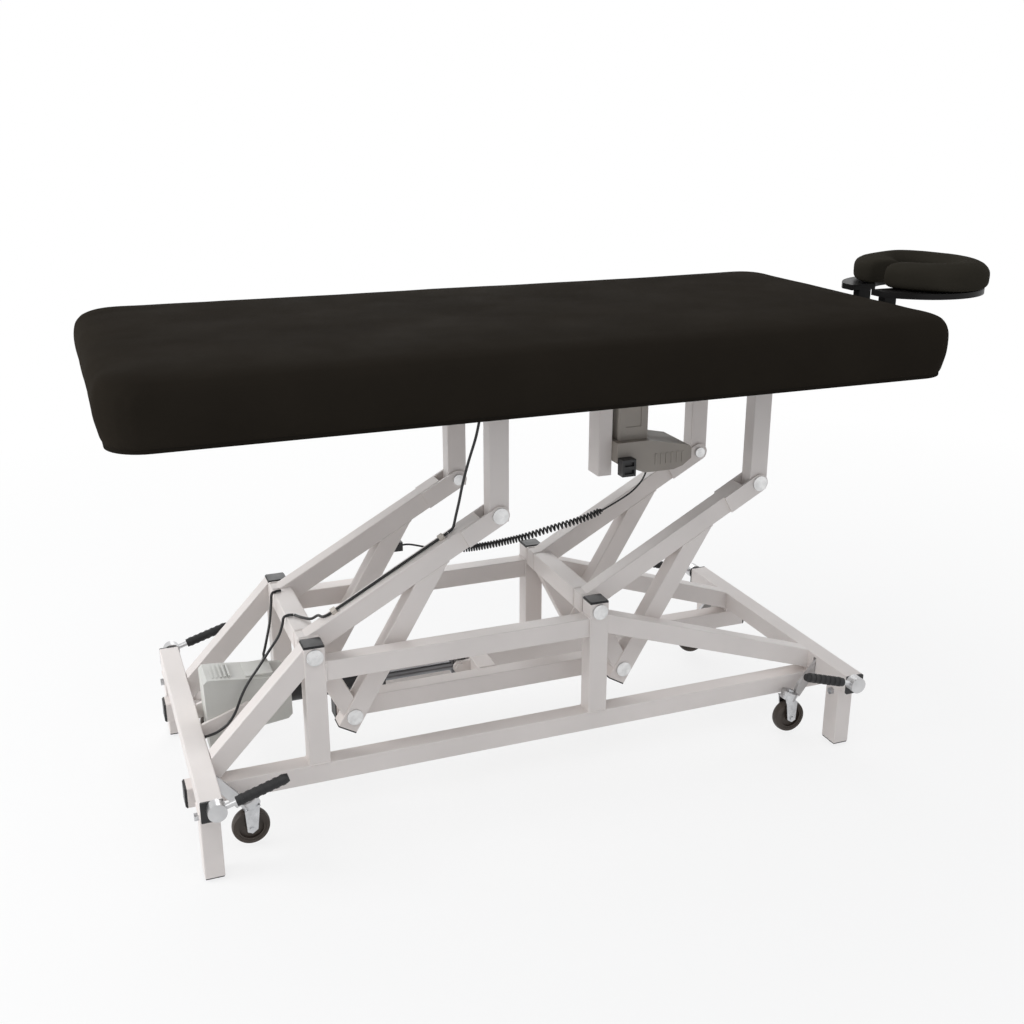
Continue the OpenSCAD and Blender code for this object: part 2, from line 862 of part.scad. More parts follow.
// Motor housing of the actuator: a wedge that hangs at the foot end, turning on the rear bolt
motor_gland = [202, mid_y + 28, 298];
module motor_housing() {
    y0 = mid_y - motor_w / 2;
    outline = [
        [62, 120], [72, 110], [96, 112], [168, 168], [236, 176], [246, 186], [246, 268], [238, 278],
        [92, 296], [66, 298], [58, 290],
    ];
    color("#a0a39e") placed() difference() {
        union() {
            plate_y(y0, motor_w) polygon(outline);
            translate([150, y0 + 9, 280]) cube([60, motor_w - 18, 11]);
            translate([motor_gland[0], motor_gland[1], 288])
                cylinder(r1 = 8, r2 = 5, h = motor_gland[2] - 288);
            for (x = [78:9:114]) translate([x, y0 + 12, 270]) cube([4, motor_w - 24, 28]);
        }
        rod_y(act_x, y0 - eps, act_z, bolt_pin_r + run, motor_w + 2 * eps);
        translate([240, mid_y, act_z]) rotate([0, 90, 0]) cylinder(r = barrel_r + seat, h = 20);
    }
}

barrel_x0 = 240;
barrel_x1 = 468;
module actuator_barrel() {
    barrel_l = barrel_x1 - barrel_x0;
    color("#3a3b3d") placed() translate([barrel_x0, mid_y, act_z]) rotate([0, 90, 0]) difference() {
        union() {
            cylinder(r = barrel_r, h = barrel_l);
            translate([0, 0, barrel_l - 24]) cylinder(r = barrel_r + 4, h = 24);
        }
        translate([0, 0, 6]) cylinder(r = rod_r + 3, h = barrel_l - 36);
        translate([0, 0, 6]) cylinder(r = rod_r + run, h = barrel_l);
    }
}

// Rod with a slotted eye, so that the top can be held up while the rod draws back
slot_up = 11;
slot_side = 4;
module actuator_rod() {
    rod_x0 = 388;
    slot_r = push_r + slot_side;
    eye_r = slot_r + 7;
    color("#4a4b4d") placed() difference() {
        union() {
            translate([rod_x0, mid_y, act_z]) rotate([0, 90, 0])
                cylinder(r = rod_r, h = act_b - eye_r - rod_x0 + 4);
            plate_y(mid_y - eye_t / 2, eye_t) {
                for (z = [-slot_up, slot_up]) translate([act_b, act_z + z]) circle(r = eye_r);
                translate([act_b - eye_r, act_z - slot_up]) square([2 * eye_r, 2 * slot_up]);
            }
        }
        plate_y(mid_y - eye_t / 2 - eps, eye_t + 2 * eps) {
            for (z = [-slot_up, slot_up]) translate([act_b, act_z + z]) circle(r = slot_r);
            translate([act_b - slot_r, act_z - slot_up]) square([2 * slot_r, 2 * slot_up]);
        }
    }
}

// Casters. A caster hangs on an arm of the levers' shaft, which turns inside the end beam.
// They roll with the swivel stem upright, and the levers tip them up by tip_a to the drawn position.
shaft_r = 7;
wheel_r = wheel_d / 2;
floor_lift = 8;
trail = 20;
stem_x = leg_x - shaft_x + wheel_r - 2;
head_h = 12;
head_up = wheel_r + 14;
mount_drop = shaft_z - (wheel_r - floor_lift + head_up);
plate_t = 7;

// Tips the children, drawn about the shaft in the rolling position, up to the parked one
module parked() {
    translate([shaft_x, 0, shaft_z]) rotate([0, -tip_a, 0]) children();
}

// Arm of the shaft and the plate that carries the swivel, in the rolling position
module caster_arm() {
    arm_w = 9;
    z1 = -mount_drop;
    plate_y(caster_y - arm_w / 2, arm_w) {
        circle(r = 10);
        polygon([[-8, -6], [7, 7], [stem_x - 12, z1 + 30], [stem_x - 12, z1], [stem_x - 28, z1]]);
    }
    translate([stem_x, caster_y, z1]) cylinder(r = 21, h = plate_t);
}

// Shaft with its two hubs, lever bars and caster arms
lever_a = 17;
lever_l = 148;
hub_r = 19;
module lever_set() {
    end = -cap_t - clear - 22;
    difference() {
        union() {
            rod_y(shaft_x, end, shaft_z, shaft_r, base_w - 2 * end);
            both_sides() {
                rod_y(shaft_x, end - 2, shaft_z, hub_r, 24);
                translate([shaft_x, end + 10, shaft_z]) rotate([0, 90 - lever_a, 0])
                    cylinder(r = 6, h = lever_l - 10);
                parked() caster_arm();
            }
        }
        both_sides() parked() translate([stem_x, caster_y, -mount_drop - eps])
            cylinder(r = 5 + run, h = plate_t + 2 * eps);
    }
}

module left_lever_shaft() {
    color("gainsboro") placed() lever_set();
}

module right_lever_shaft() {
    color("gainsboro") placed() at_end(true) lever_set();
}

// Ribbed black grips on the lever bars
module lever_grips() {
    end = -cap_t - clear - 22;
    grip_l = 108;
    both_sides() translate([shaft_x, end + 10, shaft_z]) rotate([0, 90 - lever_a, 0])
        translate([0, 0, lever_l - grip_l]) difference() {
            union() {
                cylinder(r = 10, h = grip_l - 6);
                translate([0, 0, grip_l - 6]) cylinder(r1 = 10, r2 = 8, h = 6);
                for (k = [0:6]) translate([0, 0, 8 + k * 14]) cylinder(r = 11, h = 7);
            }
            translate([0, 0, -eps]) cylinder(r = 6 + seat, h = grip_l - 8 + eps);
        }
}

module left_grips() {
    color("#151617") placed() lever_grips();
}

module right_grips() {
    color("#151617") placed() at_end(true) lever_grips();
}

// Swivel fork under the arm's plate, with its kingpin and wheel bolt; the wheel trails outwards
module caster_fork() {
    z1 = -mount_drop - clear;
    cheek = wheel_w / 2 + 2;
    parked() translate([stem_x, caster_y, z1]) difference() {
        union() {
            cylinder(r = 5, h = plate_t + 3);
            translate([0, 0, plate_t + 2 * clear]) cylinder(r = 8, h = 5);
            translate([0, 0, -head_h]) cylinder(r = 20, h = head_h);
            for (s = [-1, 1]) plate_y(s * (cheek + 1.75) - 1.75, 3.5) polygon([
                [-17, -head_h + 3], [17, -head_h + 3], [-trail + 11, -head_up + clear - 6],
                [-trail - 3, -head_up + clear - 10], [-trail - 11, -head_up + clear - 2],
            ]);
            translate([-17, -cheek - 3.5, -head_h]) cube([34, 2 * cheek + 7, 3]);
            rod_y(-trail, -cheek - 6, -head_up + clear, 5, 2 * cheek + 12);
        }
        translate([0, 0, -head_h - eps]) cylinder(r = 3, h = head_h - 4);
    }
}

// Wheel: hub, disc and rounded tread
module caster_wheel() {
    z1 = -mount_drop - head_up;
    parked() translate([stem_x - trail, caster_y, z1]) rotate([90, 0, 0]) difference() {
        union() {
            cylinder(r = 11, h = wheel_w + 2, center = true);
            cylinder(r = wheel_r - 11, h = 10, center = true);
            rotate_extrude() translate([wheel_r - 14, 0]) {
                translate([0, -wheel_w / 2 + 3]) square([9, wheel_w - 6]);
                translate([5, 0]) intersection() {
                    translate([-wheel_w / 2 - 4, 0]) circle(r = wheel_w / 2 + 13);
                    translate([0, -wheel_w / 2 + 2]) square([20, wheel_w - 4]);
                }
            }
        }
        cylinder(r = 5 + run, h = 2 * wheel_w, center = true);
    }
}

// Places the children at one of the four corners
module at_corner(head, far) {
    at_end(head) {
        if (far) translate([0, base_w, 0]) mirror([0, 1, 0]) children();
        else children();
    }
}

module fork_at(head, far) {
    color("silver") placed() at_corner(head, far) caster_fork();
}

module wheel_at(head, far) {
    color("#26211d") placed() at_corner(head, far) caster_wheel();
}

// Routes of the cables, chosen by hand along their lie. Each is a list of points in the base's measures.
motor_route_near = [
    [261.2, 322.2, 424], [250, 324, 424], [240, 325, 419], [236, 325, 402], [226, 324, 378], [204, 320, 350],
    [178, 314, 318], [152, 310, 286], [135, 307, 258], [119, 306, 222], [101, 306, 197], [78, 306, 182],
    [60, 306, 177], [49.3, 306, 176],
];
motor_route_far = [
    [262, 470, 424], [250, 468, 424], [240, 465, 419], [236, 458, 398], [228, 442, 364], [216, 422, 334],
    [206, 402, 316], [202, 396, 309], [202, 396, 303.5], [202, 396, 298.4],
];
arm_route = [
    [586, 226, 603.8], [562, 226, 590.5], [500, 226, 556.2], [430, 226, 517.4], [360, 226, 478.6],
    [335, 226, 464.7], [324, 226, 458.6], [316, 226, 454.2], [306, 232, 449.5], [300, 250, 446],
    [290, 274, 430], [277, 300, 424], [263.2, 320.4, 424],
];
table_route = [
    [664, 226, 885.7], [663, 226, 860], [653, 226, 812], [636, 226, 760], [622, 226, 712], [613, 226, 672],
    [605, 226, 640], [598, 226, 614], [587, 226, 604.7],
];

// Smooth curve through points: position on the stretch from b to c
function curve(a, b, c, d, t) =
    0.5 * (2 * b + (c - a) * t + (2 * a - 5 * b + 4 * c - d) * t * t + (3 * b - a - 3 * c + d) * t * t * t);
function smooth(p, per) = [
    for (i = [0:len(p) - 2], k = [0:per - 1])
        curve(p[max(i - 1, 0)], p[i], p[i + 1], p[min(i + 2, len(p) - 1)], k / per),
    p[len(p) - 1],
];
function unit(v) = v / norm(v);

// Part of v square to the direction d, one long
function across(v, d) = unit(v - (v * d) * d);

// Direction square to each of the directions t, carried on from one to the next without twist
function sides_of(t) =
    let (last = len(t) - 1)
    [for (i = 0, v = across([0.05, 0.1, 1], t[0]); i <= last; i = i + 1, v = across(v, t[min(i, last)])) v];

// Tube of radius r swept along the points, each ring carried on from the last without twist
module swept(p, r, sides) {
    last = len(p) - 1;
    t = [for (i = [0:last]) unit(p[min(i + 1, last)] - p[max(i - 1, 0)])];
    u = sides_of(t);
    stacked([
        for (i = [last:-1:0])
            let (w = cross(t[i], u[i]))
            [for (k = [0:sides - 1]) p[i] + r * (cos(k * 360 / sides) * u[i] + sin(k * 360 / sides) * w)],
    ]);
}

module motor_cables() {
    color("#111214") placed() {
        swept(smooth(motor_route_near, 2), cable_d / 2, 8);
        swept(smooth(motor_route_far, 2), cable_d / 2, 8);
    }
}

module arm_cable() {
    color("#111214") placed() swept(smooth(arm_route, 2), cable_d / 2, 8);
}

module table_cable() {
    color("#111214") placed() swept(smooth(table_route, 2), cable_d / 2, 8);
}

// Clips that hold the cable on the near arm's top, and the one on the cross tube
clip_at = [84, 360];
module cable_clips() {
    color("#8a5a34") placed() {
        for (x = clip_at) along_arm(arm_c) translate([x - 6, -9, tube / 2]) difference() {
            cube([12, 18, 8]);
            translate([-eps, 9, 3.6]) rotate([0, 90, 0]) cylinder(r = cable_d / 2 + clear, h = 20);
        }
    }
}

// Socket on the far foot-end strut that the curly cord plugs into
cord_end = [560, 510, 480];
module cord_socket() {
    color("#17181a") placed() difference() {
        translate([cord_end[0] - 34, cord_end[1] - 11, cord_end[2] - 11]) cube([36, 22, 22]);
        translate([p3[0], base_w - arm_c, p3[1]]) rotate([0, -strut_a, 0])
            translate([0, -arm_d, -tube / 2]) cube([strut_l, 2 * arm_d, 2 * tube]);
    }
}

// Curly cord: a lead wound in a helix along a sagging line, straight at both ends
curls = 60;
curl_rings = 8;
cord_line = [
    [1150, 400, 634], [1149, 401, 622], [1138, 405, 600], [1110, 412, 572], [1050, 426, 535], [996, 438, 513],
    [928, 452, 495], [862, 466, 477], [809, 476, 467], [757, 487, 459], [711, 496, 456], [660, 504, 460],
    [620, 508, 468], [590, 510, 477], [575, 510, 480], [562.3, 510, 480],
];
first_curl = 4;
last_curl = 12;
lead_in = smooth([for (i = [0:first_curl]) cord_line[i]], 3);
lead_out = smooth([for (i = [last_curl:len(cord_line) - 1]) cord_line[i]], 3);
curl_line = smooth([for (i = [first_curl:last_curl]) cord_line[i]], 60);
curl_count = curls * curl_rings;
function on_line(s) =
    let (f = s * (len(curl_line) - 1), i = min(floor(f), len(curl_line) - 2))
    curl_line[i] + (f - i) * (curl_line[i + 1] - curl_line[i]);
function curl_point(j) =
    let (
        s = j / curl_count,
        t = unit(on_line(min(s + 0.01, 1)) - on_line(max(s - 0.01, 0))),
        u = unit(cross([0, 1, 0], t)),
        v = cross(t, u),
        grow = min(1, min(j, curl_count - j) / (2 * curl_rings)),
        r = (curl_d - lead_d) / 2 * grow
    )
    on_line(s) + r * (cos(j * 360 / curl_rings) * u + sin(j * 360 / curl_rings) * v);
curl_points = [for (j = [0:curl_count]) curl_point(j)];
cord_points = concat(
    [for (i = [0:len(lead_in) - 2]) lead_in[i]],
    curl_points,
    [for (i = [1:len(lead_out) - 1]) lead_out[i]]
);
curl_gap = min([
    for (j = [2 * curl_rings:curl_count - 3 * curl_rings], k = [curl_rings - 1:curl_rings + 1])
        norm(curl_points[j] - curl_points[j + k]) - lead_d,
]);
echo(curly_cord_gap_mm = curl_gap);

module curly_cord() {
    color("#0f1012") placed() swept(cord_points, lead_d / 2, 6);
}

left_end_beam();
right_end_beam();
beam_caps();
legs();
foot_pads();
lower_rails();
frame_caps();
uprights();
upper_rails();
braces();
actuator_bracket();
frame_bolts();
motor_cables();
left_cross_tube();
left_arms();
left_struts();
left_pins();
left_plugs();
arm_cable();
cable_clips();
cord_socket();
right_cross_tube();
right_arms();
right_struts();
right_pins();
right_plugs();
tie_links();
tie_plugs();
tie_cross_tube();
tie_lugs();
posts();
deck_rails();
deck_cross_rails();
deck_board();
top_pad();
control_bracket();
control_box();
cord_fittings();
table_cable();
curly_cord();
cradle_sockets();
cradle_rods();
cradle_hinge();
cradle_plate();
cradle_pad();
motor_housing();
actuator_barrel();
actuator_rod();
left_lever_shaft();
left_grips();
right_lever_shaft();
right_grips();
fork_at(false, false);  // near_left_fork
wheel_at(false, false);  // near_left_wheel
fork_at(false, true);  // far_left_fork
wheel_at(false, true);  // far_left_wheel
fork_at(true, false);  // near_right_fork
wheel_at(true, false);  // near_right_wheel
fork_at(true, true);  // far_right_fork
wheel_at(true, true);  // far_right_wheel
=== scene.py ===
# %% [markdown]
# An electric treatment table: a thick vinyl-covered top on a white lift frame of square tube, with
# a face cradle at the head end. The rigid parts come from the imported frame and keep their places.
# This script gives them their finishes, and makes what a solid modeller makes badly: the stuffed
# top and face cushion, the cords, the weld beads and the wheels' bright bearing rings.

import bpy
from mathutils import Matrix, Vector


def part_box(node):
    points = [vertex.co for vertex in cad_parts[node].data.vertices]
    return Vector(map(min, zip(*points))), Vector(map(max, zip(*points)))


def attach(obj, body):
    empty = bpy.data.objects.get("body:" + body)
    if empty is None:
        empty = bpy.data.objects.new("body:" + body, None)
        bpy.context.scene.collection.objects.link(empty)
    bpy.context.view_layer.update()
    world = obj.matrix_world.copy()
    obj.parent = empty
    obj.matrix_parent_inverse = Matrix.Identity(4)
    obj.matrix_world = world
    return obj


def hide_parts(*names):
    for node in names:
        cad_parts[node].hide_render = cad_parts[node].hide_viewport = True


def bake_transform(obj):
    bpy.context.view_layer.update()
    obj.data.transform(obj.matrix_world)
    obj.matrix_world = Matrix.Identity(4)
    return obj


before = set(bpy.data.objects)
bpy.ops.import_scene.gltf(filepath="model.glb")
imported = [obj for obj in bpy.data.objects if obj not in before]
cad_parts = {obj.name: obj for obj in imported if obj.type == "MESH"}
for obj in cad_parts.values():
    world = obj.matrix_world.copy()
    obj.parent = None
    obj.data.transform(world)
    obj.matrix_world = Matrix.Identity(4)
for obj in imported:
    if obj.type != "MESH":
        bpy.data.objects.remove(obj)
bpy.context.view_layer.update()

import math

import bmesh
import bpy
import numpy as np
from mathutils import Matrix, Vector, noise

scene = bpy.context.scene
scene.view_settings.view_transform = "Standard"

# %% [markdown]
# The photograph is taken from the near side of the foot end, a little above the top. The camera's
# place and tilt were worked out from the ends of the frame's tubes. A lens is set as a focal length
# on a sensor of known width, and both are named here, since together they give the angle of view.

# %% Camera
camera_place = (-1.1254, -2.4721, 1.4883)
camera_pitch = math.radians(90 - 18.9)
camera_turn = math.radians(-21.2)
sensor_width = 36
focal_length = 42.5

camera = bpy.data.objects.new("camera", bpy.data.cameras.new("camera"))
scene.collection.objects.link(camera)
camera.location = camera_place
camera.rotation_euler = (camera_pitch, 0, camera_turn)
camera.data.sensor_width = sensor_width
camera.data.lens = focal_length
scene.camera = camera
print("camera at", camera_place)

# %% [markdown]
# The cords' routes are the ones in the part's source, in its millimetres from the base's near
# corner, so a small function moves them to the frame's metres. Only the far motor cable stops half
# a millimetre short, to clear the motor as it tilts. A Catmull-Rom curve runs through every chosen
# point, so the cord lies where the points say and still bends softly between them.

# %% Cord routes
base_origin = np.array((956, 368, 0))


def placed(point):
    """A point in the base's millimetres, in the frame's metres."""
    return (np.array(point, float) - base_origin) / 1000


def smooth(points, steps):
    """A soft curve through the points, with that many steps from one to the next."""
    p = [np.array(q, float) for q in points]
    p = [p[0], *p, p[-1]]
    line = []
    for a, b, c, d in zip(p, p[1:], p[2:], p[3:]):
        for k in range(steps):
            t = k / steps
            bend = (2 * a - 5 * b + 4 * c - d) * t**2 + (3 * b - a - 3 * c + d) * t**3
            line.append(0.5 * (2 * b + (c - a) * t + bend))
    return [*line, p[-1]]


motor_route_near = [
    (261.2, 322.2, 424), (250, 324, 424), (240, 325, 419), (236, 325, 402), (226, 324, 378),
    (204, 320, 350), (178, 314, 318), (152, 310, 286), (135, 307, 258), (119, 306, 222),
    (101, 306, 197), (78, 306, 182), (60, 306, 177), (49.3, 306, 176),
]
motor_route_far = [
    (262, 470, 424), (250, 468, 424), (240, 465, 419), (236, 458, 398), (228, 442, 364),
    (216, 422, 334), (206, 402, 316), (202, 396, 309), (202, 396, 303.5), (202, 396, 298.9),
]
arm_route = [
    (586, 226, 603.8), (562, 226, 590.5), (500, 226, 556.2), (430, 226, 517.4), (360, 226, 478.6),
    (335, 226, 464.7), (324, 226, 458.6), (316, 226, 454.2), (306, 232, 449.5), (300, 250, 446),
    (290, 274, 430), (277, 300, 424), (263.2, 320.4, 424),
]
table_route = [
    (664, 226, 885.7), (663, 226, 860), (653, 226, 812), (636, 226, 760), (622, 226, 712),
    (613, 226, 672), (605, 226, 640), (598, 226, 614), (587, 226, 604.7),
]
curly_route = [
    (1150, 400, 634), (1149, 401, 622), (1138, 405, 600), (1110, 412, 572), (1050, 426, 535),
    (996, 438, 513), (928, 452, 495), (862, 466, 477), (809, 476, 467), (757, 487, 459),
    (711, 496, 456), (660, 504, 460), (620, 508, 468), (590, 510, 477), (575, 510, 480),
    (562.3, 510, 480),
]
print("motor routes have", len(motor_route_near), "and", len(motor_route_far), "points")
print("arm, table and curly routes have", len(arm_route), len(table_route), len(curly_route))

# %% [markdown]
# A tube needs a ring of points round each point of its line. If every ring chose its own "up", the
# tube would twist where the line turns over, so each ring carries the last one's side direction on
# and only tips it to stay square to the line. This is called parallel transport. The first side is
# square to the line's start and to a hint, a direction that no line here starts along.

# %% Tubes along a line
side_hint = (0.05, 0.1, 1)


def linked(name, mesh):
    """A smooth piece with that mesh, linked to the scene."""
    mesh.shade_smooth()
    piece = bpy.data.objects.new(name, mesh)
    scene.collection.objects.link(piece)
    return piece


def new_piece(name, verts, faces):
    """A piece from plain lists of points and faces."""
    mesh = bpy.data.meshes.new(name)
    mesh.from_pydata([tuple(v) for v in verts], [], faces)
    mesh.update()
    return linked(name, mesh)


def tube_mesh(line, radius, sides, closed=False):
    """Points and faces of a tube along a line, with flat ends unless the line is a closed loop."""
    line = np.array(line)
    count = len(line)
    ahead = np.roll(line, -1, axis=0) - np.roll(line, 1, axis=0)
    if not closed:
        ahead[0], ahead[-1] = line[1] - line[0], line[-1] - line[-2]
    side = np.cross(ahead[0], side_hint)
    verts, faces = [], []
    for i in range(count):
        t = ahead[i] / np.linalg.norm(ahead[i])
        side = side - (side @ t) * t
        side /= np.linalg.norm(side)
        up = np.cross(t, side)
        r = radius[i] if hasattr(radius, "__len__") else radius
        for k in range(sides):
            a = 2 * math.pi * k / sides
            verts.append(line[i] + r * (math.cos(a) * side + math.sin(a) * up))
    for i in range(count if closed else count - 1):
        j = (i + 1) % count
        for k in range(sides):
            n = (k + 1) % sides
            faces.append((i * sides + k, i * sides + n, j * sides + n, j * sides + k))
    if not closed:
        faces.append(tuple(range(sides - 1, -1, -1)))
        faces.append(tuple(range((count - 1) * sides, count * sides)))
    return verts, faces


def line_length(line):
    """Length of a line through points."""
    return float(sum(np.linalg.norm(b - a) for a, b in zip(line, line[1:])))


print("tubes start from the side hint", side_hint)

# %% [markdown]
# Four plain cables run round the foot end: two from the cross tube down to the motor and the beam,
# one clipped along the near arm, and one from the table down to that arm. They are all of one
# round jacket, so one function makes them, and hands back the line as well, for its length.

# %% Plain cables
cable_diameter = 0.006
cable_steps = 6
cable_sides = 16


def cable(name, route):
    """A plain round cable along a route in the base's millimetres, and its line."""
    line = [placed(p) for p in smooth(route, cable_steps)]
    verts, faces = tube_mesh(line, cable_diameter / 2, cable_sides)
    return new_piece(name, verts, faces), line


near_cable, near_line = cable("motor_cable_near", motor_route_near)
far_cable, far_line = cable("motor_cable_far", motor_route_far)
arm_lead, arm_line = cable("arm_lead", arm_route)
table_lead, table_line = cable("table_lead", table_route)
for lead, line in (
    (near_cable, near_line), (far_cable, far_line), (arm_lead, arm_line), (table_lead, table_line),
):
    print(lead.name, "is", round(line_length(line), 3), "m")

# %% [markdown]
# A curly cord is a lead wound round a line. The line sags between its two ends, and each point of
# the helix sits at the coil's radius from it, turned a little further than the last. Over the first
# and last two curls the radius grows from nothing, so that the straight leads run into the coil.
# A curl's plane is square to the line, whose direction is read a little behind and ahead of it.

# %% Curly cord
lead_diameter = 0.0046
curl_diameter = 0.019
curls = 60
points_per_curl = 16
growing_curls = 2
first_curl, last_curl = 4, 12
middle_steps = 60
look_ahead = 0.01
lead_sides = 10

lead_in = [placed(p) for p in smooth(curly_route[: first_curl + 1], cable_steps)]
lead_out = [placed(p) for p in smooth(curly_route[last_curl:], cable_steps)]
middle_route = curly_route[first_curl : last_curl + 1]
middle = np.array([placed(p) for p in smooth(middle_route, middle_steps)])
coil_points = curls * points_per_curl


def on_middle(share):
    """The point at that share of the coil's middle line."""
    f = min(max(share, 0), 1) * (len(middle) - 1)
    i = min(int(f), len(middle) - 2)
    return middle[i] + (f - i) * (middle[i + 1] - middle[i])


coil = []
for j in range(coil_points + 1):
    share = j / coil_points
    t = on_middle(share + look_ahead) - on_middle(share - look_ahead)
    t /= np.linalg.norm(t)
    u = np.cross((0, 1, 0), t)
    u /= np.linalg.norm(u)
    v = np.cross(t, u)
    grow = min(1, min(j, coil_points - j) / (growing_curls * points_per_curl))
    r = (curl_diameter - lead_diameter) / 2 * grow
    a = 2 * math.pi * j / points_per_curl
    coil.append(on_middle(share) + r * (math.cos(a) * u + math.sin(a) * v))
curly_line = [*lead_in[:-1], *coil, *lead_out[1:]]
verts, faces = tube_mesh(curly_line, lead_diameter / 2, lead_sides)
curly_cord = new_piece("curly_lead", verts, faces)
print("curly cord is", round(line_length(curly_line), 2), "m of lead")

# %% [markdown]
# A finish is more than a colour. Each material here starts from the Principled shader and adds
# what real surfaces have: a colour that varies a little over the part, mostly a gloss that varies
# too, and a fine relief as bump. All read Object coordinates, so nothing needs unwrapping. Noise
# stays near its middle value, so only the middle part of its range is spread over the two ends.

# %% Material helpers
tint_span = (0.35, 0.65)
gloss_span = (0.3, 0.7)


def linear(red, green, blue):
    """A screen colour from 0 to 255 as the linear colour that a shader takes."""
    return tuple(((c / 255 + 0.055) / 1.055) ** 2.4 for c in (red, green, blue)) + (1.0,)


def shader(name, roughness, metallic=0.0, specular=0.5):
    """A material and its Principled shader."""
    material = bpy.data.materials.new(name)
    material.use_nodes = True
    surface = material.node_tree.nodes["Principled BSDF"]
    surface.inputs["Roughness"].default_value = roughness
    surface.inputs["Metallic"].default_value = metallic
    surface.inputs["Specular IOR Level"].default_value = specular
    return material, surface


def add_node(material, kind, **values):
    """A node of that kind with its inputs set by name."""
    node = material.node_tree.nodes.new(kind)
    for key, value in values.items():
        node.inputs[key.replace("_", " ")].default_value = value
    return node


def join(material, output, target):
    """A link from one socket to another."""
    material.node_tree.links.new(output, target)


def object_place(material):
    """Object coordinates, made once for each material."""
    nodes = material.node_tree.nodes
    found = nodes.get("place")
    if found is None:
        found = nodes.new("ShaderNodeTexCoord")
        found.name = "place"
    return found.outputs["Object"]


def noise_field(material, scale, detail=3.0, roughness=0.5):
    """A noise texture over the object's own coordinates."""
    field = add_node(
        material, "ShaderNodeTexNoise", Scale=scale, Detail=detail, Roughness=roughness,
    )
    join(material, object_place(material), field.inputs["Vector"])
    return field.outputs["Fac"]


def shade(tint, share):
    """The tint with its three colours scaled, and still opaque."""
    return tuple(c * share for c in tint[:3]) + (1.0,)


def mottle(material, surface, tint, share, scale):
    """Colour that wanders between the tint and a shade of it."""
    ramp = material.node_tree.nodes.new("ShaderNodeValToRGB")
    first, last = ramp.color_ramp.elements
    first.position, last.position = tint_span
    first.color = shade(tint, share)
    last.color = tint
    join(material, noise_field(material, scale), ramp.inputs["Fac"])
    join(material, ramp.outputs["Color"], surface.inputs["Base Color"])


def uneven_gloss(material, surface, low, high, scale):
    """Roughness that wanders between two values, as wear and handling leave it."""
    span = add_node(material, "ShaderNodeMapRange", To_Min=low, To_Max=high)
    span.inputs["From Min"].default_value, span.inputs["From Max"].default_value = gloss_span
    join(material, noise_field(material, scale, detail=5.0), span.inputs["Value"])
    join(material, span.outputs["Result"], surface.inputs["Roughness"])


def relief(material, surface, height, strength, distance):
    """Bump from a height field, stacked on any bump that is there."""
    bump = add_node(material, "ShaderNodeBump", Strength=strength, Distance=distance)
    join(material, height, bump.inputs["Height"])
    normal = surface.inputs["Normal"]
    if normal.links:
        join(material, normal.links[0].from_socket, bump.inputs["Normal"])
    join(material, bump.outputs["Normal"], normal)


print("a screen grey of 128 is", round(linear(128, 128, 128)[0], 3), "as a linear colour")

# %% [markdown]
# The frame is powder coated. The powder melts and flows into a fine orange peel, which shows as
# soft ripples a few millimetres apart in the highlights. Its white is a little warm, and dust and
# handling leave it faintly uneven. The cradle's rods have the same kind of paint in black. The
# actuator's barrel is grey, but takes a near-black coat of the same kind: painted shade for the
# shadow it lies in under the top.

# %% Powder coats


def powder_coat(name, tint, specular=0.5):
    """Sprayed and baked paint with its orange peel."""
    material, surface = shader(name, roughness=0.4, specular=specular)
    mottle(material, surface, tint, share=0.9, scale=3.5)
    uneven_gloss(material, surface, low=0.3, high=0.5, scale=6)
    orange_peel = noise_field(material, scale=420, detail=1.0)
    relief(material, surface, orange_peel, strength=0.18, distance=0.0006)
    return material


white_paint = powder_coat("white powder coat", linear(236, 229, 225))
black_paint = powder_coat("black powder coat", linear(26, 25, 25), specular=0.12)
# The barrel is grey; this near-black coat is painted shade for the shadow it lies in under the top.
barrel_painted_shade = powder_coat("black enamel", linear(44, 44, 46))
print("paints:", white_paint.name, black_paint.name, barrel_painted_shade.name)

# %% [markdown]
# Upholstery vinyl is embossed with a leather grain: small rounded cells between fine creases. A
# Voronoi texture's distance to the nearest cell edge gives both. The emboss is shallow, so it goes
# in as bump, over a broader waviness that the foam below gives the sheet.

# %% Vinyl


def vinyl(name, tint):
    """Embossed upholstery vinyl, nearly matt."""
    material, surface = shader(name, roughness=0.8, specular=0.005)
    mottle(material, surface, tint, share=0.86, scale=5)
    uneven_gloss(material, surface, low=0.74, high=0.88, scale=9)
    cells = add_node(material, "ShaderNodeTexVoronoi", Scale=620.0)
    cells.feature = "DISTANCE_TO_EDGE"
    join(material, object_place(material), cells.inputs["Vector"])
    relief(material, surface, cells.outputs["Distance"], strength=0.35, distance=0.0006)
    waviness = noise_field(material, scale=60, detail=4.0)
    relief(material, surface, waviness, strength=0.12, distance=0.002)
    return material


top_vinyl = vinyl("top vinyl", linear(40, 36, 31))
face_vinyl = vinyl("face cushion vinyl", linear(50, 47, 41))
board_vinyl = vinyl("board vinyl", linear(34, 31, 27))
print("vinyls:", top_vinyl.name, face_vinyl.name, board_vinyl.name)

# %% [markdown]
# Moulded plastic comes from a spark-eroded tool, which leaves an even, fine, sandy texture. Rubber
# is duller, and picks up dust that greys it in patches. One function serves both: grain says how
# fine the texture is, and stray how far the colour wanders, above 1 for pale dust on dark rubber.

# %% Plastics and rubbers


def moulded(name, tint, roughness, stray=0.85, grain=900.0):
    """Moulded plastic or rubber with its tool texture."""
    material, surface = shader(name, roughness=roughness)
    mottle(material, surface, tint, share=stray, scale=14)
    uneven_gloss(material, surface, low=roughness - 0.07, high=roughness + 0.09, scale=22)
    sand = noise_field(material, scale=grain, detail=2.0)
    relief(material, surface, sand, strength=0.2, distance=0.0004)
    return material


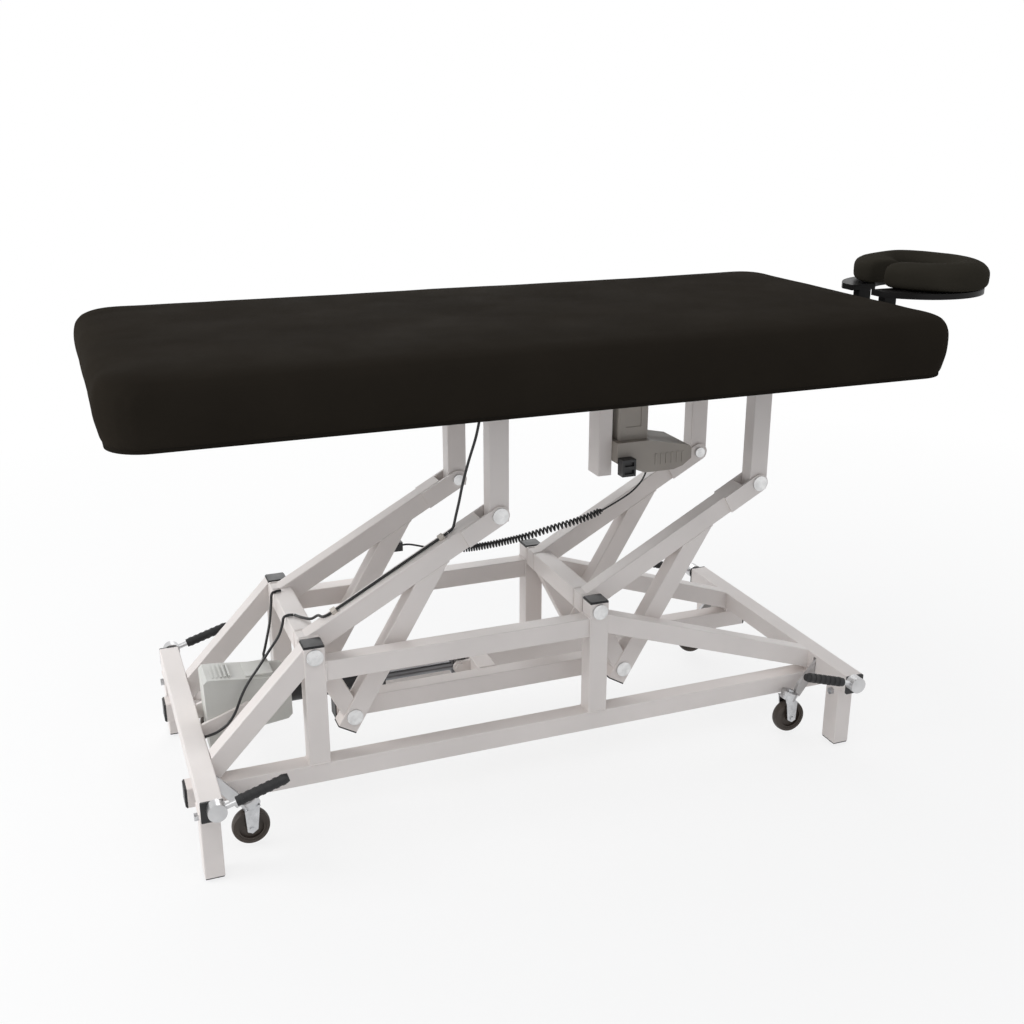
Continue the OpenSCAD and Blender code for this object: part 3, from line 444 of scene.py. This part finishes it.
cap_plastic = moulded("cap plastic", linear(28, 28, 30), roughness=0.42)
foot_rubber = moulded("foot rubber", linear(34, 34, 36), roughness=0.7, stray=1.5)
grip_rubber = moulded("grip rubber", linear(24, 24, 25), roughness=0.6, stray=1.35)
wheel_rubber = moulded("wheel rubber", linear(52, 44, 38), roughness=0.55, stray=1.5)
box_plastic = moulded("control box plastic", linear(164, 157, 149), roughness=0.5, stray=0.93)
motor_plastic = moulded("motor plastic", linear(208, 208, 203), roughness=0.5, stray=0.93)
clip_plastic = moulded("clip plastic", linear(206, 198, 188), roughness=0.45)
cable_jacket = moulded("cable jacket", linear(22, 22, 24), roughness=0.38, stray=1.3, grain=500)
print("plastics:", cap_plastic.name, box_plastic.name, motor_plastic.name, clip_plastic.name)
print("rubbers:", foot_rubber.name, grip_rubber.name, wheel_rubber.name, cable_jacket.name)

# %% [markdown]
# Zinc-plated steel is bright and slightly blue, with soft blotches where the plating is thicker.
# The lever bars and the actuator's rod are ground, so their fine lines run round the bar: a noise
# that is squeezed along one axis makes such lines.

# %% Bare metals


def zinc_steel(name, tint, roughness):
    """Plated steel with a blotched gloss."""
    material, surface = shader(name, roughness=roughness, metallic=1.0)
    mottle(material, surface, tint, share=0.8, scale=60)
    uneven_gloss(material, surface, low=roughness - 0.08, high=roughness + 0.12, scale=90)
    blotches = noise_field(material, scale=700, detail=2.0)
    relief(material, surface, blotches, strength=0.08, distance=0.0003)
    return material


def ground_steel(name, tint, roughness, squeeze):
    """Turned or ground steel, with fine lines square to the squeezed axis."""
    material, surface = shader(name, roughness=roughness, metallic=1.0)
    stretch = material.node_tree.nodes.new("ShaderNodeMapping")
    stretch.inputs["Scale"].default_value = squeeze
    join(material, object_place(material), stretch.inputs["Vector"])
    lines = add_node(material, "ShaderNodeTexNoise", Scale=40.0, Detail=4.0)
    join(material, stretch.outputs["Vector"], lines.inputs["Vector"])
    mottle(material, surface, tint, share=0.82, scale=20)
    relief(material, surface, lines.outputs["Fac"], strength=0.12, distance=0.0004)
    return material


zinc = zinc_steel("zinc plate", linear(205, 206, 208), roughness=0.3)
pin_zinc = zinc_steel("pin plate", linear(226, 226, 226), roughness=0.34)
lever_steel = ground_steel(
    "lever steel", linear(205, 205, 206), roughness=0.32, squeeze=(0.2, 40, 0.2),
)
rod_steel = ground_steel(
    "rod steel", linear(120, 120, 122), roughness=0.3, squeeze=(40, 0.2, 0.2),
)
print("metals:", zinc.name, pin_zinc.name, lever_steel.name, rod_steel.name)

# %% [markdown]
# Every carried-over part takes one of these finishes. The list goes from finish to parts, because
# most parts share one. A part that is missing from it stops the loop at the end.

# %% Finishes on the carried-over parts
finishes = {
    white_paint: [
        "left_end_beam", "right_end_beam", "legs", "lower_rails", "uprights", "upper_rails",
        "braces", "actuator_bracket", "left_cross_tube", "left_arms", "left_struts",
        "right_cross_tube", "right_arms", "right_struts", "tie_links", "tie_cross_tube",
        "tie_lugs", "posts", "deck_rails", "deck_cross_rails", "control_bracket",
    ],
    black_paint: ["cradle_sockets", "cradle_rods", "cradle_hinge", "cradle_plate"],
    # The barrel's near-black coat is painted shade, not its own colour.
    barrel_painted_shade: ["actuator_barrel"],
    board_vinyl: ["deck_board"],
    cap_plastic: [
        "beam_caps", "frame_caps", "left_plugs", "right_plugs", "tie_plugs", "cord_socket",
        "cord_fittings",
    ],
    foot_rubber: ["foot_pads"],
    grip_rubber: ["left_grips", "right_grips"],
    wheel_rubber: ["near_left_wheel", "far_left_wheel", "near_right_wheel", "far_right_wheel"],
    box_plastic: ["control_box"],
    motor_plastic: ["motor_housing"],
    clip_plastic: ["cable_clips"],
    cable_jacket: ["motor_cables", "arm_cable", "table_cable", "curly_cord"],
    zinc: ["frame_bolts", "near_left_fork", "far_left_fork", "near_right_fork", "far_right_fork"],
    pin_zinc: ["left_pins", "right_pins"],
    lever_steel: ["left_lever_shaft", "right_lever_shaft"],
    rod_steel: ["actuator_rod"],
    top_vinyl: ["top_pad"],
    face_vinyl: ["cradle_pad"],
}


def dress(piece, material):
    """Gives the piece this one material."""
    piece.data.materials.clear()
    piece.data.materials.append(material)


finish_of = {node: material for material, nodes in finishes.items() for node in nodes}
for name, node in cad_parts.items():
    dress(node, finish_of[name])
print("dressed", len(finish_of), "parts")

# %% [markdown]
# The cords cross moving joints. Every cord takes the cable jacket's finish. The two motor cables,
# the table's lead and the curly cord have their transforms baked into their points and stay where
# they are drawn, and the plain solids they replace are hidden. The arm's lead is clipped to the arm
# all the way, so it just rides on it.

for lead in (near_cable, far_cable, arm_lead, table_lead, curly_cord):
    dress(lead, cable_jacket)

for lead, line in ((near_cable, near_line), (far_cable, far_line)):
    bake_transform(lead)
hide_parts("motor_cables")
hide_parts("motor_cables")

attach(arm_lead, "left_lift")
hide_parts("arm_cable")

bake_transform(table_lead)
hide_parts("table_cable")

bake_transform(curly_cord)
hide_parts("curly_cord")
print("cords on two bodies:", near_cable.name, far_cable.name, table_lead.name, curly_cord.name)

# %% [markdown]
# A stuffed piece starts as a row of rings, joined to a closed mesh. For the top they lie one above
# the other, and each is a rounded rectangle. As a ring is drawn in, its corners get tighter, down
# to a small radius that keeps its points apart.

# %% Rings for stuffed pieces
corner_steps = 10
least_radius = 0.004


def rounded_ring(length, width, radius, inset, height):
    """Points of a rounded rectangle about the origin, drawn in by the inset."""
    ring = []
    for quarter in range(4):
        sx = 1 if quarter in (0, 3) else -1
        sy = 1 if quarter < 2 else -1
        r = max(radius - inset, least_radius)
        off = max(inset - radius + least_radius, 0)
        for k in range(corner_steps + 1):
            a = quarter * math.pi / 2 + k * math.pi / 2 / corner_steps
            x = sx * (length / 2 - radius - off) + r * math.cos(a)
            y = sy * (width / 2 - radius - off) + r * math.sin(a)
            ring.append((x, y, height))
    return ring


def stack_of_rings(name, rings):
    """A closed mesh through rings with the same number of points."""
    n = len(rings[0])
    verts = [p for ring in rings for p in ring]
    faces = [tuple(range(n - 1, -1, -1)), tuple(range(len(verts) - n, len(verts)))]
    for j in range(len(rings) - 1):
        for i in range(n):
            k = (i + 1) % n
            faces.append((j * n + i, j * n + k, (j + 1) * n + k, (j + 1) * n + i))
    return new_piece(name, verts, faces)


print("a ring of the top has", 4 * (corner_steps + 1), "points")

# %% [markdown]
# A voxel remesh gives the rings' mesh even small faces, and a short cloth simulation blows it up
# from inside, as the foam does. How far a point may move is capped, and the points low down, where
# the piece rests, are held, with a narrow band above them in which they come free.

# %% Foam under a sheet
swell_frames = 20
free_band = 0.02


def apply_modifiers(piece):
    """The piece's evaluated mesh as its own mesh."""
    graph = bpy.context.evaluated_depsgraph_get()
    mesh = bpy.data.meshes.new_from_object(piece.evaluated_get(graph))
    piece.modifiers.clear()
    piece.data = mesh
    mesh.shade_smooth()


def remesh(piece, voxel):
    """Even faces of about the voxel's size."""
    modifier = piece.modifiers.new("even faces", "REMESH")
    modifier.mode = "VOXEL"
    modifier.voxel_size = voxel
    apply_modifiers(piece)


def inflate(piece, pressure, cap, held_below):
    """Blows the piece up as cloth, by the cap at most and not at all below a height."""
    rest = np.array([v.co for v in piece.data.vertices])
    cloth = piece.modifiers.new("cloth", "CLOTH")
    cloth.settings.use_pressure = True
    cloth.settings.uniform_pressure_force = pressure
    cloth.settings.effector_weights.gravity = 0
    cloth.settings.quality = 4
    cloth.point_cache.frame_start = 1
    cloth.point_cache.frame_end = swell_frames
    for number in range(1, swell_frames + 1):
        scene.frame_set(number)
    graph = bpy.context.evaluated_depsgraph_get()
    blown = np.array([v.co for v in piece.evaluated_get(graph).data.vertices])
    piece.modifiers.remove(cloth)
    scene.frame_set(1)
    move = blown - rest
    size = np.linalg.norm(move, axis=1, keepdims=True)
    move *= np.minimum(1, cap / np.maximum(size, 1e-9))
    free = np.clip((rest[:, 2:3] - held_below) / free_band, 0, 1)
    piece.data.vertices.foreach_set("co", (rest + move * free).astype(np.float32).ravel())
    piece.data.update()
    return float(np.max(np.linalg.norm(move, axis=1)))


def subdivide(piece):
    """One level of Catmull-Clark subdivision, applied."""
    modifier = piece.modifiers.new("subdivide", "SUBSURF")
    modifier.levels = 1
    modifier.render_levels = 1
    apply_modifiers(piece)


print("a stuffed piece swells over", swell_frames, "frames")

# %% [markdown]
# The top is a thick slab of foam under stretched vinyl. It is drawn in at the lower edge, where the
# vinyl is pulled under the board, and rolled over softly at the top. The vinyl covers the board's
# sides as well, so the rings start just above the board's underside. Each row of the profile says
# how far a ring is drawn in, and its height as a share of the whole.

# %% The padded top
above_underside = 0.002
top_held = 0.002
pad_low, pad_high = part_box("top_pad")
board_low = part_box("deck_board")[0]
pad_low = Vector((pad_low.x, pad_low.y, board_low.z + above_underside))
pad_size = pad_high - pad_low
pad_middle = (pad_low + pad_high) / 2
pad_radius = 0.095
pad_profile = [
    (0.019, 0.0), (0.0165, 0.03), (0.0125, 0.1), (0.008, 0.2), (0.004, 0.33), (0.003, 0.5),
    (0.003, 0.62), (0.006, 0.75), (0.014, 0.845), (0.027, 0.914), (0.048, 0.952), (0.1, 0.974),
    (0.19, 0.985), (0.3, 0.988), (0.4, 0.988),
]
top = stack_of_rings(
    "padded_top",
    [
        rounded_ring(pad_size.x, pad_size.y, pad_radius, inset, height * pad_size.z)
        for inset, height in pad_profile
    ],
)
top.data.transform(Matrix.Translation((pad_middle.x, pad_middle.y, pad_low.z)))
remesh(top, voxel=0.014)
moved = inflate(top, pressure=4.0, cap=0.004, held_below=pad_low.z + top_held)
subdivide(top)
print("top swelled by", round(moved, 4), "m")
print("top has", len(top.data.polygons), "faces")

# %% [markdown]
# Vinyl that is pulled over foam never lies quite flat: shallow hollows run along the rolled edge,
# with shorter puckers between them. They are too broad for bump, so the points themselves move, by
# a noise that is stretched along the edge and a finer one on top of it. The waves die out away
# from the edge and low down, where the sheet is pulled tight over the board.

# %% Soft waves in the vinyl
edge_band = 0.14
seat_band = 0.03
pucker_share = 0.35
pucker_scale = (9, 9, 16)
pucker_shift = Vector((0, 0, 5))


def stretched(point, scale):
    """The point with each of its coordinates scaled."""
    return Vector((point.x * scale[0], point.y * scale[1], point.z * scale[2]))


def wave_vinyl(piece, low, high, depth, along):
    """Shallow waves on the sides and rolled edges, and none where the piece rests."""
    mesh = piece.data
    normals = np.zeros(len(mesh.vertices) * 3, np.float32)
    mesh.vertices.foreach_get("normal", normals)
    normals = normals.reshape(-1, 3)
    middle = (low + high) / 2
    half = (high - low) / 2
    for vertex, normal in zip(mesh.vertices, normals):
        p = vertex.co
        edge_x = abs(p.x - middle.x) - half.x + edge_band
        edge_y = abs(p.y - middle.y) - half.y + edge_band
        edge = max(edge_x, edge_y, 0) / edge_band
        rise = min(max((p.z - low.z) / seat_band, 0), 1)
        wave = noise.noise(stretched(p, along))
        wave += pucker_share * noise.noise(stretched(p, pucker_scale) + pucker_shift)
        vertex.co = p + Vector(normal) * depth * wave * min(edge, 1) * rise
    mesh.update()
    print("waves on", piece.name, "over", len(mesh.vertices), "points")


wave_vinyl(top, pad_low, pad_high, depth=0.0035, along=(2.2, 2.2, 9))
dress(top, top_vinyl)
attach(top, "upper")
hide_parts("top_pad")

# %% [markdown]
# The face cushion is a horseshoe of soft foam whose ends nearly meet towards the table. Its middle
# line is an ellipse, and the band round that line narrows at the two ends. Each ring is a rounded
# square: a sine or cosine raised to a power below 1 stays near its ends for longer, so a smaller
# power makes a squarer ring. The lower half, which rests on the plate, is the squarer one. The
# cushion is softer than the top, so the simulation may swell it more.

# %% The face cushion
face_low, face_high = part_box("cradle_pad")
face_size = face_high - face_low
face_middle = (face_low + face_high) / 2
face_turn = math.radians(338)
face_band = 0.108
face_ring_count = 72
face_sides = 28
end_band, end_growth = 0.72, 1.9
low_power, high_power, height_power = 0.45, 0.85, 0.6
end_height, height_growth = 0.8, 0.2
room_to_swell = 0.97
face_held = 0.003


def powered(value, power):
    """The value's size raised to a power, with its sign kept."""
    return math.copysign(abs(value) ** power, value)


def face_ring(share):
    """One ring of the horseshoe, at that share of the way round it."""
    a = -math.pi + (2 * math.pi - face_turn) / 2 + share * face_turn
    swell = min(1, end_band + end_growth * math.sqrt(max(min(share, 1 - share), 0)))
    rx = face_size.x / 2 - face_band / 2
    ry = face_size.y / 2 - face_band / 2
    ring = []
    for k in range(face_sides):
        b = -2 * math.pi * k / face_sides
        power = low_power if math.sin(b) < 0 else high_power
        out = face_band / 2 * swell * room_to_swell * powered(math.cos(b), power)
        up = face_size.z / 2 * powered(math.sin(b), height_power)
        up *= (end_height + height_growth * swell) * room_to_swell
        ring.append(((rx + out) * math.cos(a), (ry + out) * math.sin(a), up))
    return ring


face_rings = [face_ring(i / face_ring_count) for i in range(face_ring_count + 1)]
face = stack_of_rings("face_cushion", face_rings)
face.data.transform(Matrix.Translation(face_middle))
remesh(face, voxel=0.007)
moved = inflate(face, pressure=4.0, cap=0.006, held_below=face_low.z + face_held)
subdivide(face)
print("face cushion swelled by", round(moved, 4), "m")
print("face cushion has", len(face.data.polygons), "faces")
wave_vinyl(face, face_low, face_high, depth=0.004, along=(11, 11, 14))
dress(face, face_vinyl)
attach(face, "cradle_head")
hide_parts("cradle_pad")

# %% [markdown]
# Where one tube meets another, a weld bead runs round the joint: a low rounded ridge with the even
# ripples of a hand-fed wire, under the paint. Each bead is a closed tube whose radius rises and
# falls along its line, as a cord's never does. Half of it is sunk into the corner, so only the
# fillet shows. A bead goes round a tube's corners in a short slant, so its line cuts them.

# %% Weld beads
bead_radius = 0.0024
bead_step = 0.0015
bead_sides = 6
ripple_length = 0.0045
least_bead, ripple_share, stray_share = 0.85, 0.22, 0.12
stray_scale = 120
corner_cut = 0.003


def corner_loop(centre, u, v, half_u, half_v):
    """A rectangle with cut corners, as a line of close points."""
    centre, u, v = (np.array(x, float) for x in (centre, u, v))
    short_u, short_v = half_u - corner_cut, half_v - corner_cut
    corners = [
        (half_u, short_v), (short_u, half_v), (-short_u, half_v), (-half_u, short_v),
        (-half_u, -short_v), (-short_u, -half_v), (short_u, -half_v), (half_u, -short_v),
    ]
    line = []
    for (a, b), (c, d) in zip(corners, corners[1:] + corners[:1]):
        steps = max(2, int(math.hypot(c - a, d - b) / bead_step))
        for k in range(steps):
            t = k / steps
            line.append(centre + u * (a + (c - a) * t) + v * (b + (d - b) * t))
    return line


def bead(line):
    """Points and faces of one rippled bead round a closed line."""
    radii = []
    for i, p in enumerate(line):
        ripple = 0.5 + 0.5 * math.cos(2 * math.pi * i * bead_step / ripple_length)
        stray = noise.noise(Vector(p) * stray_scale)
        radii.append(bead_radius * (least_bead + ripple_share * ripple + stray_share * stray))
    return tube_mesh(line, radii, bead_sides, closed=True)


def bead_piece(name, loops, body):
    """All of a body's beads as one painted piece."""
    verts, faces = [], []
    for loop in loops:
        some_verts, some_faces = bead(loop)
        faces += [tuple(i + len(verts) for i in face) for face in some_faces]
        verts += some_verts
    piece = new_piece(name, verts, faces)
    dress(piece, white_paint)
    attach(piece, body)


print("a bead is about", round(2 * bead_radius * 1000, 1), "mm across")

# %% [markdown]
# On the base, beads run round the ends of the upper rails, the feet of the uprights and the tops of
# the legs. Their places are read from the boxes of these parts, so that they follow the frame. Only
# half the width of a tube, and of a leg each way, is typed here.

# %% Weld beads on the base
half_tube = 0.0225
x_way, y_way, z_way = (1, 0, 0), (0, 1, 0), (0, 0, 1)
upright_low, upright_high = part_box("uprights")
rail_low, rail_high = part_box("upper_rails")
rail_z = (rail_low.z + rail_high.z) / 2
rail_half = (rail_high.z - rail_low.z) / 2
side_y = upright_high.y - half_tube
base_beads = []
for side in (-1, 1):
    y = side * side_y
    for x in (rail_low.x, rail_high.x):
        base_beads.append(corner_loop((x, y, rail_z), y_way, z_way, rail_half, half_tube))
    for x in (upright_low.x + half_tube, upright_high.x - half_tube):
        base_beads.append(corner_loop((x, y, upright_low.z), x_way, y_way, half_tube, half_tube))
leg_low, leg_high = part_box("legs")
leg_half = (0.02, 0.025)
legs_middle = (leg_low.x + leg_high.x) / 2
legs_reach = (leg_high.x - leg_low.x) / 2 - leg_half[0]
for end in (-1, 1):
    for side in (-1, 1):
        leg_top = (legs_middle + end * legs_reach, side * (leg_high.y - leg_half[1]), leg_high.z)
        base_beads.append(corner_loop(leg_top, x_way, y_way, *leg_half))
bead_piece("base_welds", base_beads, "base")
print("beads on the base:", len(base_beads))

# %% [markdown]
# The arms carry the same beads: round the cross tube where it enters each arm, and round the long
# strut where it runs into the arm's underside. The strut meets the arm at a slant, so its loop is
# longer along the arm, by one over the sine of the angle between them. Across the arm it stops a
# millimetre short of each edge. The pivots and lengths are the part's own, in its millimetres, seen
# from the side as (x, z).

# %% Weld beads on the arms
lower_pivot = np.array((268.5, 398))
tie_pivot = np.array((360, 214.5))
pair_pitch = 648
arm_angle = math.radians(29)
strut_reach = 340
arm_middles = (226, 510)
half_tube_mm = 22.5
half_arm_mm = 20
half_strut = 0.019

arm_way = np.array((math.cos(arm_angle), math.sin(arm_angle)))
strut_end = lower_pivot + strut_reach * arm_way
strut_way = (strut_end - tie_pivot) / np.linalg.norm(strut_end - tie_pivot)
slant = math.sin(math.atan2(strut_way[1], strut_way[0]) - arm_angle)
strut_foot = strut_end - half_tube_mm / slant * strut_way
for body, shift in (("left_lift", 0), ("right_lift", pair_pitch)):
    arm_beads = []
    for y in arm_middles:
        foot = placed((strut_foot[0] + shift, y, strut_foot[1]))
        along = (arm_way[0], 0, arm_way[1])
        arm_beads.append(corner_loop(foot, along, y_way, half_tube / slant, half_strut))
        for side in (-1, 1):
            joint = placed((lower_pivot[0] + shift, y + side * half_arm_mm, lower_pivot[1]))
            arm_beads.append(corner_loop(joint, x_way, z_way, half_tube, half_tube))
    bead_piece(body + "_welds", arm_beads, body)
    print("beads on", body, len(arm_beads))

# %% [markdown]
# The tie's cross tube is welded between its two links, and its box gives both ends at once.

# %% Weld beads on the tie
tie_low, tie_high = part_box("tie_cross_tube")
tie_middle = (tie_low + tie_high) / 2
tie_beads = [
    corner_loop((tie_middle.x, y, tie_middle.z), x_way, z_way, half_tube, half_tube)
    for y in (tie_low.y, tie_high.y)
]
bead_piece("tie_welds", tie_beads, "tie")
print("beads on the tie:", len(tie_beads))

# %% [markdown]
# A caster wheel turns on a pressed bearing, whose bright ring stands a little proud of the hub. Its
# section is four points, joined to a closed loop and spun once round the axle. The spin merges its
# last copy with the first, so the ring is whole, and its normals are then turned outwards. Each
# wheel's two rings are one piece.

# %% Wheel bearings
ring_sunk, ring_proud = 0.001, 0.0006
ring_radii = (0.0062, 0.0075, 0.0095, 0.0108)
ring_steps = 40


def piece_from(name, bm):
    """A piece from a bmesh, with its faces turned outwards."""
    bmesh.ops.recalc_face_normals(bm, faces=bm.faces)
    mesh = bpy.data.meshes.new(name)
    bm.to_mesh(mesh)
    bm.free()
    return linked(name, mesh)


def spin_ring(bm, section, centre):
    """A closed section of (radius, offset) points spun round the Y axis."""
    corners = [
        bm.verts.new((centre.x + radius, centre.y + offset, centre.z)) for radius, offset in section
    ]
    edges = [bm.edges.new(pair) for pair in zip(corners, corners[1:] + corners[:1])]
    bmesh.ops.spin(
        bm, geom=corners + edges, cent=centre, axis=(0, 1, 0), angle=2 * math.pi,
        steps=ring_steps, use_merge=True,
    )


for corner in ("near_left", "far_left", "near_right", "far_right"):
    wheel_low, wheel_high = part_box(corner + "_wheel")
    hub_face = (wheel_high.y - wheel_low.y) / 2
    ring_mesh = bmesh.new()
    for side in (-1, 1):
        sunk, proud = side * (hub_face - ring_sunk), side * (hub_face + ring_proud)
        section = list(zip(ring_radii, (sunk, proud, proud, sunk)))
        spin_ring(ring_mesh, section, (wheel_low + wheel_high) / 2)
    bearing = piece_from(corner + "_bearing", ring_mesh)
    dress(bearing, zinc)
    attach(bearing, corner + "_wheel")
    print(bearing.name, "has", len(bearing.data.polygons), "faces")

# %% [markdown]
# The light is a plain studio's: one large soft lamp above and in front, a weaker one from the other
# side, one behind, and a pale surround. The top shades the frame below it, so a fourth lamp stands
# at the foot end, low enough to reach the arms' upper faces. Large lamps give the long soft
# highlights that show how a tube or a cushion is rounded.

# %% Lamps


def lamp(name, place, aim, size, power):
    """A square area lamp that faces the point it aims at."""
    light = bpy.data.lights.new(name, "AREA")
    light.size = size
    light.energy = power
    holder = bpy.data.objects.new(name, light)
    scene.collection.objects.link(holder)
    holder.location = place
    holder.rotation_euler = (Vector(aim) - Vector(place)).to_track_quat("-Z", "Y").to_euler()
    print(name, "gives", power, "W")


lamp("main_lamp", place=(-1.8, -2.6, 4.2), aim=(0, 0, 0.5), size=2.6, power=34)
lamp("fill_lamp", place=(3.4, -2.2, 2.6), aim=(0, 0, 0.5), size=2.4, power=13)
lamp("back_lamp", place=(0.5, 3.4, 3.0), aim=(0, 0, 0.6), size=2.6, power=46)
lamp("end_lamp", place=(-3.6, 0.2, 2.0), aim=(-0.3, 0, 0.5), size=1.6, power=56)

# %% [markdown]
# The background is white without lighting the object any more. The world answers rays from the
# camera, and rays that a glossy or clear surface sends on, with plain white, and all other rays
# with its own softer, slightly blue light. Light Path tells them apart: each of its outputs is 1
# for one kind of ray, so their sum, held at 1, is the share of white.

# %% White surround
surround_tint = (0.9, 0.92, 0.95, 1)
surround_strength = 0.55
plain_white = (1, 1, 1, 1)


def clamped_sum(tree, first, second):
    """The sum of two sockets, held at 1."""
    total = tree.nodes.new("ShaderNodeMath")
    total.operation = "ADD"
    total.use_clamp = True
    tree.links.new(first, total.inputs[0])
    tree.links.new(second, total.inputs[1])
    return total.outputs[0]


def seen_rays(tree):
    """1 for rays from the camera and for reflected and refracted ones, 0 for the rest."""
    path = tree.nodes.new("ShaderNodeLightPath")
    seen = clamped_sum(tree, path.outputs["Is Camera Ray"], path.outputs["Is Glossy Ray"])
    return clamped_sum(tree, seen, path.outputs["Is Transmission Ray"])


world = bpy.data.worlds.new("surround")
scene.world = world
world.use_nodes = True
tree = world.node_tree
background = tree.nodes["Background"]
background.inputs["Color"].default_value = surround_tint
background.inputs["Strength"].default_value = surround_strength
white = tree.nodes.new("ShaderNodeBackground")
white.inputs["Color"].default_value = plain_white
mix = tree.nodes.new("ShaderNodeMixShader")
tree.links.new(seen_rays(tree), mix.inputs[0])
tree.links.new(background.outputs[0], mix.inputs[1])
tree.links.new(white.outputs[0], mix.inputs[2])
tree.links.new(mix.outputs[0], tree.nodes["World Output"].inputs["Surface"])
print("surround strength is", surround_strength)

# %% [markdown]
# The floor does the same, but keeps a share of its real shading, so that the object's shadow shows.
# That share falls to nothing a few metres out, where the floor has to meet the white surround
# without an edge. The distance is the length of the Object coordinates, since the floor's object
# sits at the middle of the part.

# %% Pale floor
floor_half = 30
floor_tint = (0.85, 0.85, 0.85, 1)
shadow_share = 0.2
shadow_near, shadow_far = 1.0, 3.4

floor_mesh = bmesh.new()
bmesh.ops.create_grid(floor_mesh, x_segments=1, y_segments=1, size=floor_half)
floor = piece_from("floor", floor_mesh)
pale, surface = shader("pale floor", roughness=0.9)
surface.inputs["Base Color"].default_value = floor_tint
glow = pale.node_tree.nodes.new("ShaderNodeEmission")
distance = pale.node_tree.nodes.new("ShaderNodeVectorMath")
distance.operation = "LENGTH"
join(pale, object_place(pale), distance.inputs[0])
share = add_node(
    pale, "ShaderNodeMapRange", From_Min=shadow_near, From_Max=shadow_far, To_Min=1 - shadow_share,
    To_Max=1.0,
)
join(pale, distance.outputs["Value"], share.inputs["Value"])
white_share = pale.node_tree.nodes.new("ShaderNodeMath")
white_share.operation = "MULTIPLY"
join(pale, share.outputs["Result"], white_share.inputs[0])
join(pale, seen_rays(pale.node_tree), white_share.inputs[1])
blend_in = pale.node_tree.nodes.new("ShaderNodeMixShader")
join(pale, white_share.outputs[0], blend_in.inputs[0])
join(pale, surface.outputs[0], blend_in.inputs[1])
join(pale, glow.outputs[0], blend_in.inputs[2])
join(pale, blend_in.outputs[0], pale.node_tree.nodes["Material Output"].inputs["Surface"])
dress(floor, pale)
print("floor is", 2 * floor_half, "m wide")

# %% [markdown]
# The view layer is brought up to date at the end. The dressed object should differ from the
# imported frame by about a centimetre at most: the vinyl draws the stuffed pieces in at their
# sides, the face cushion swells upwards, and their plain solids do neither.

# %% The end
bpy.context.view_layer.update()
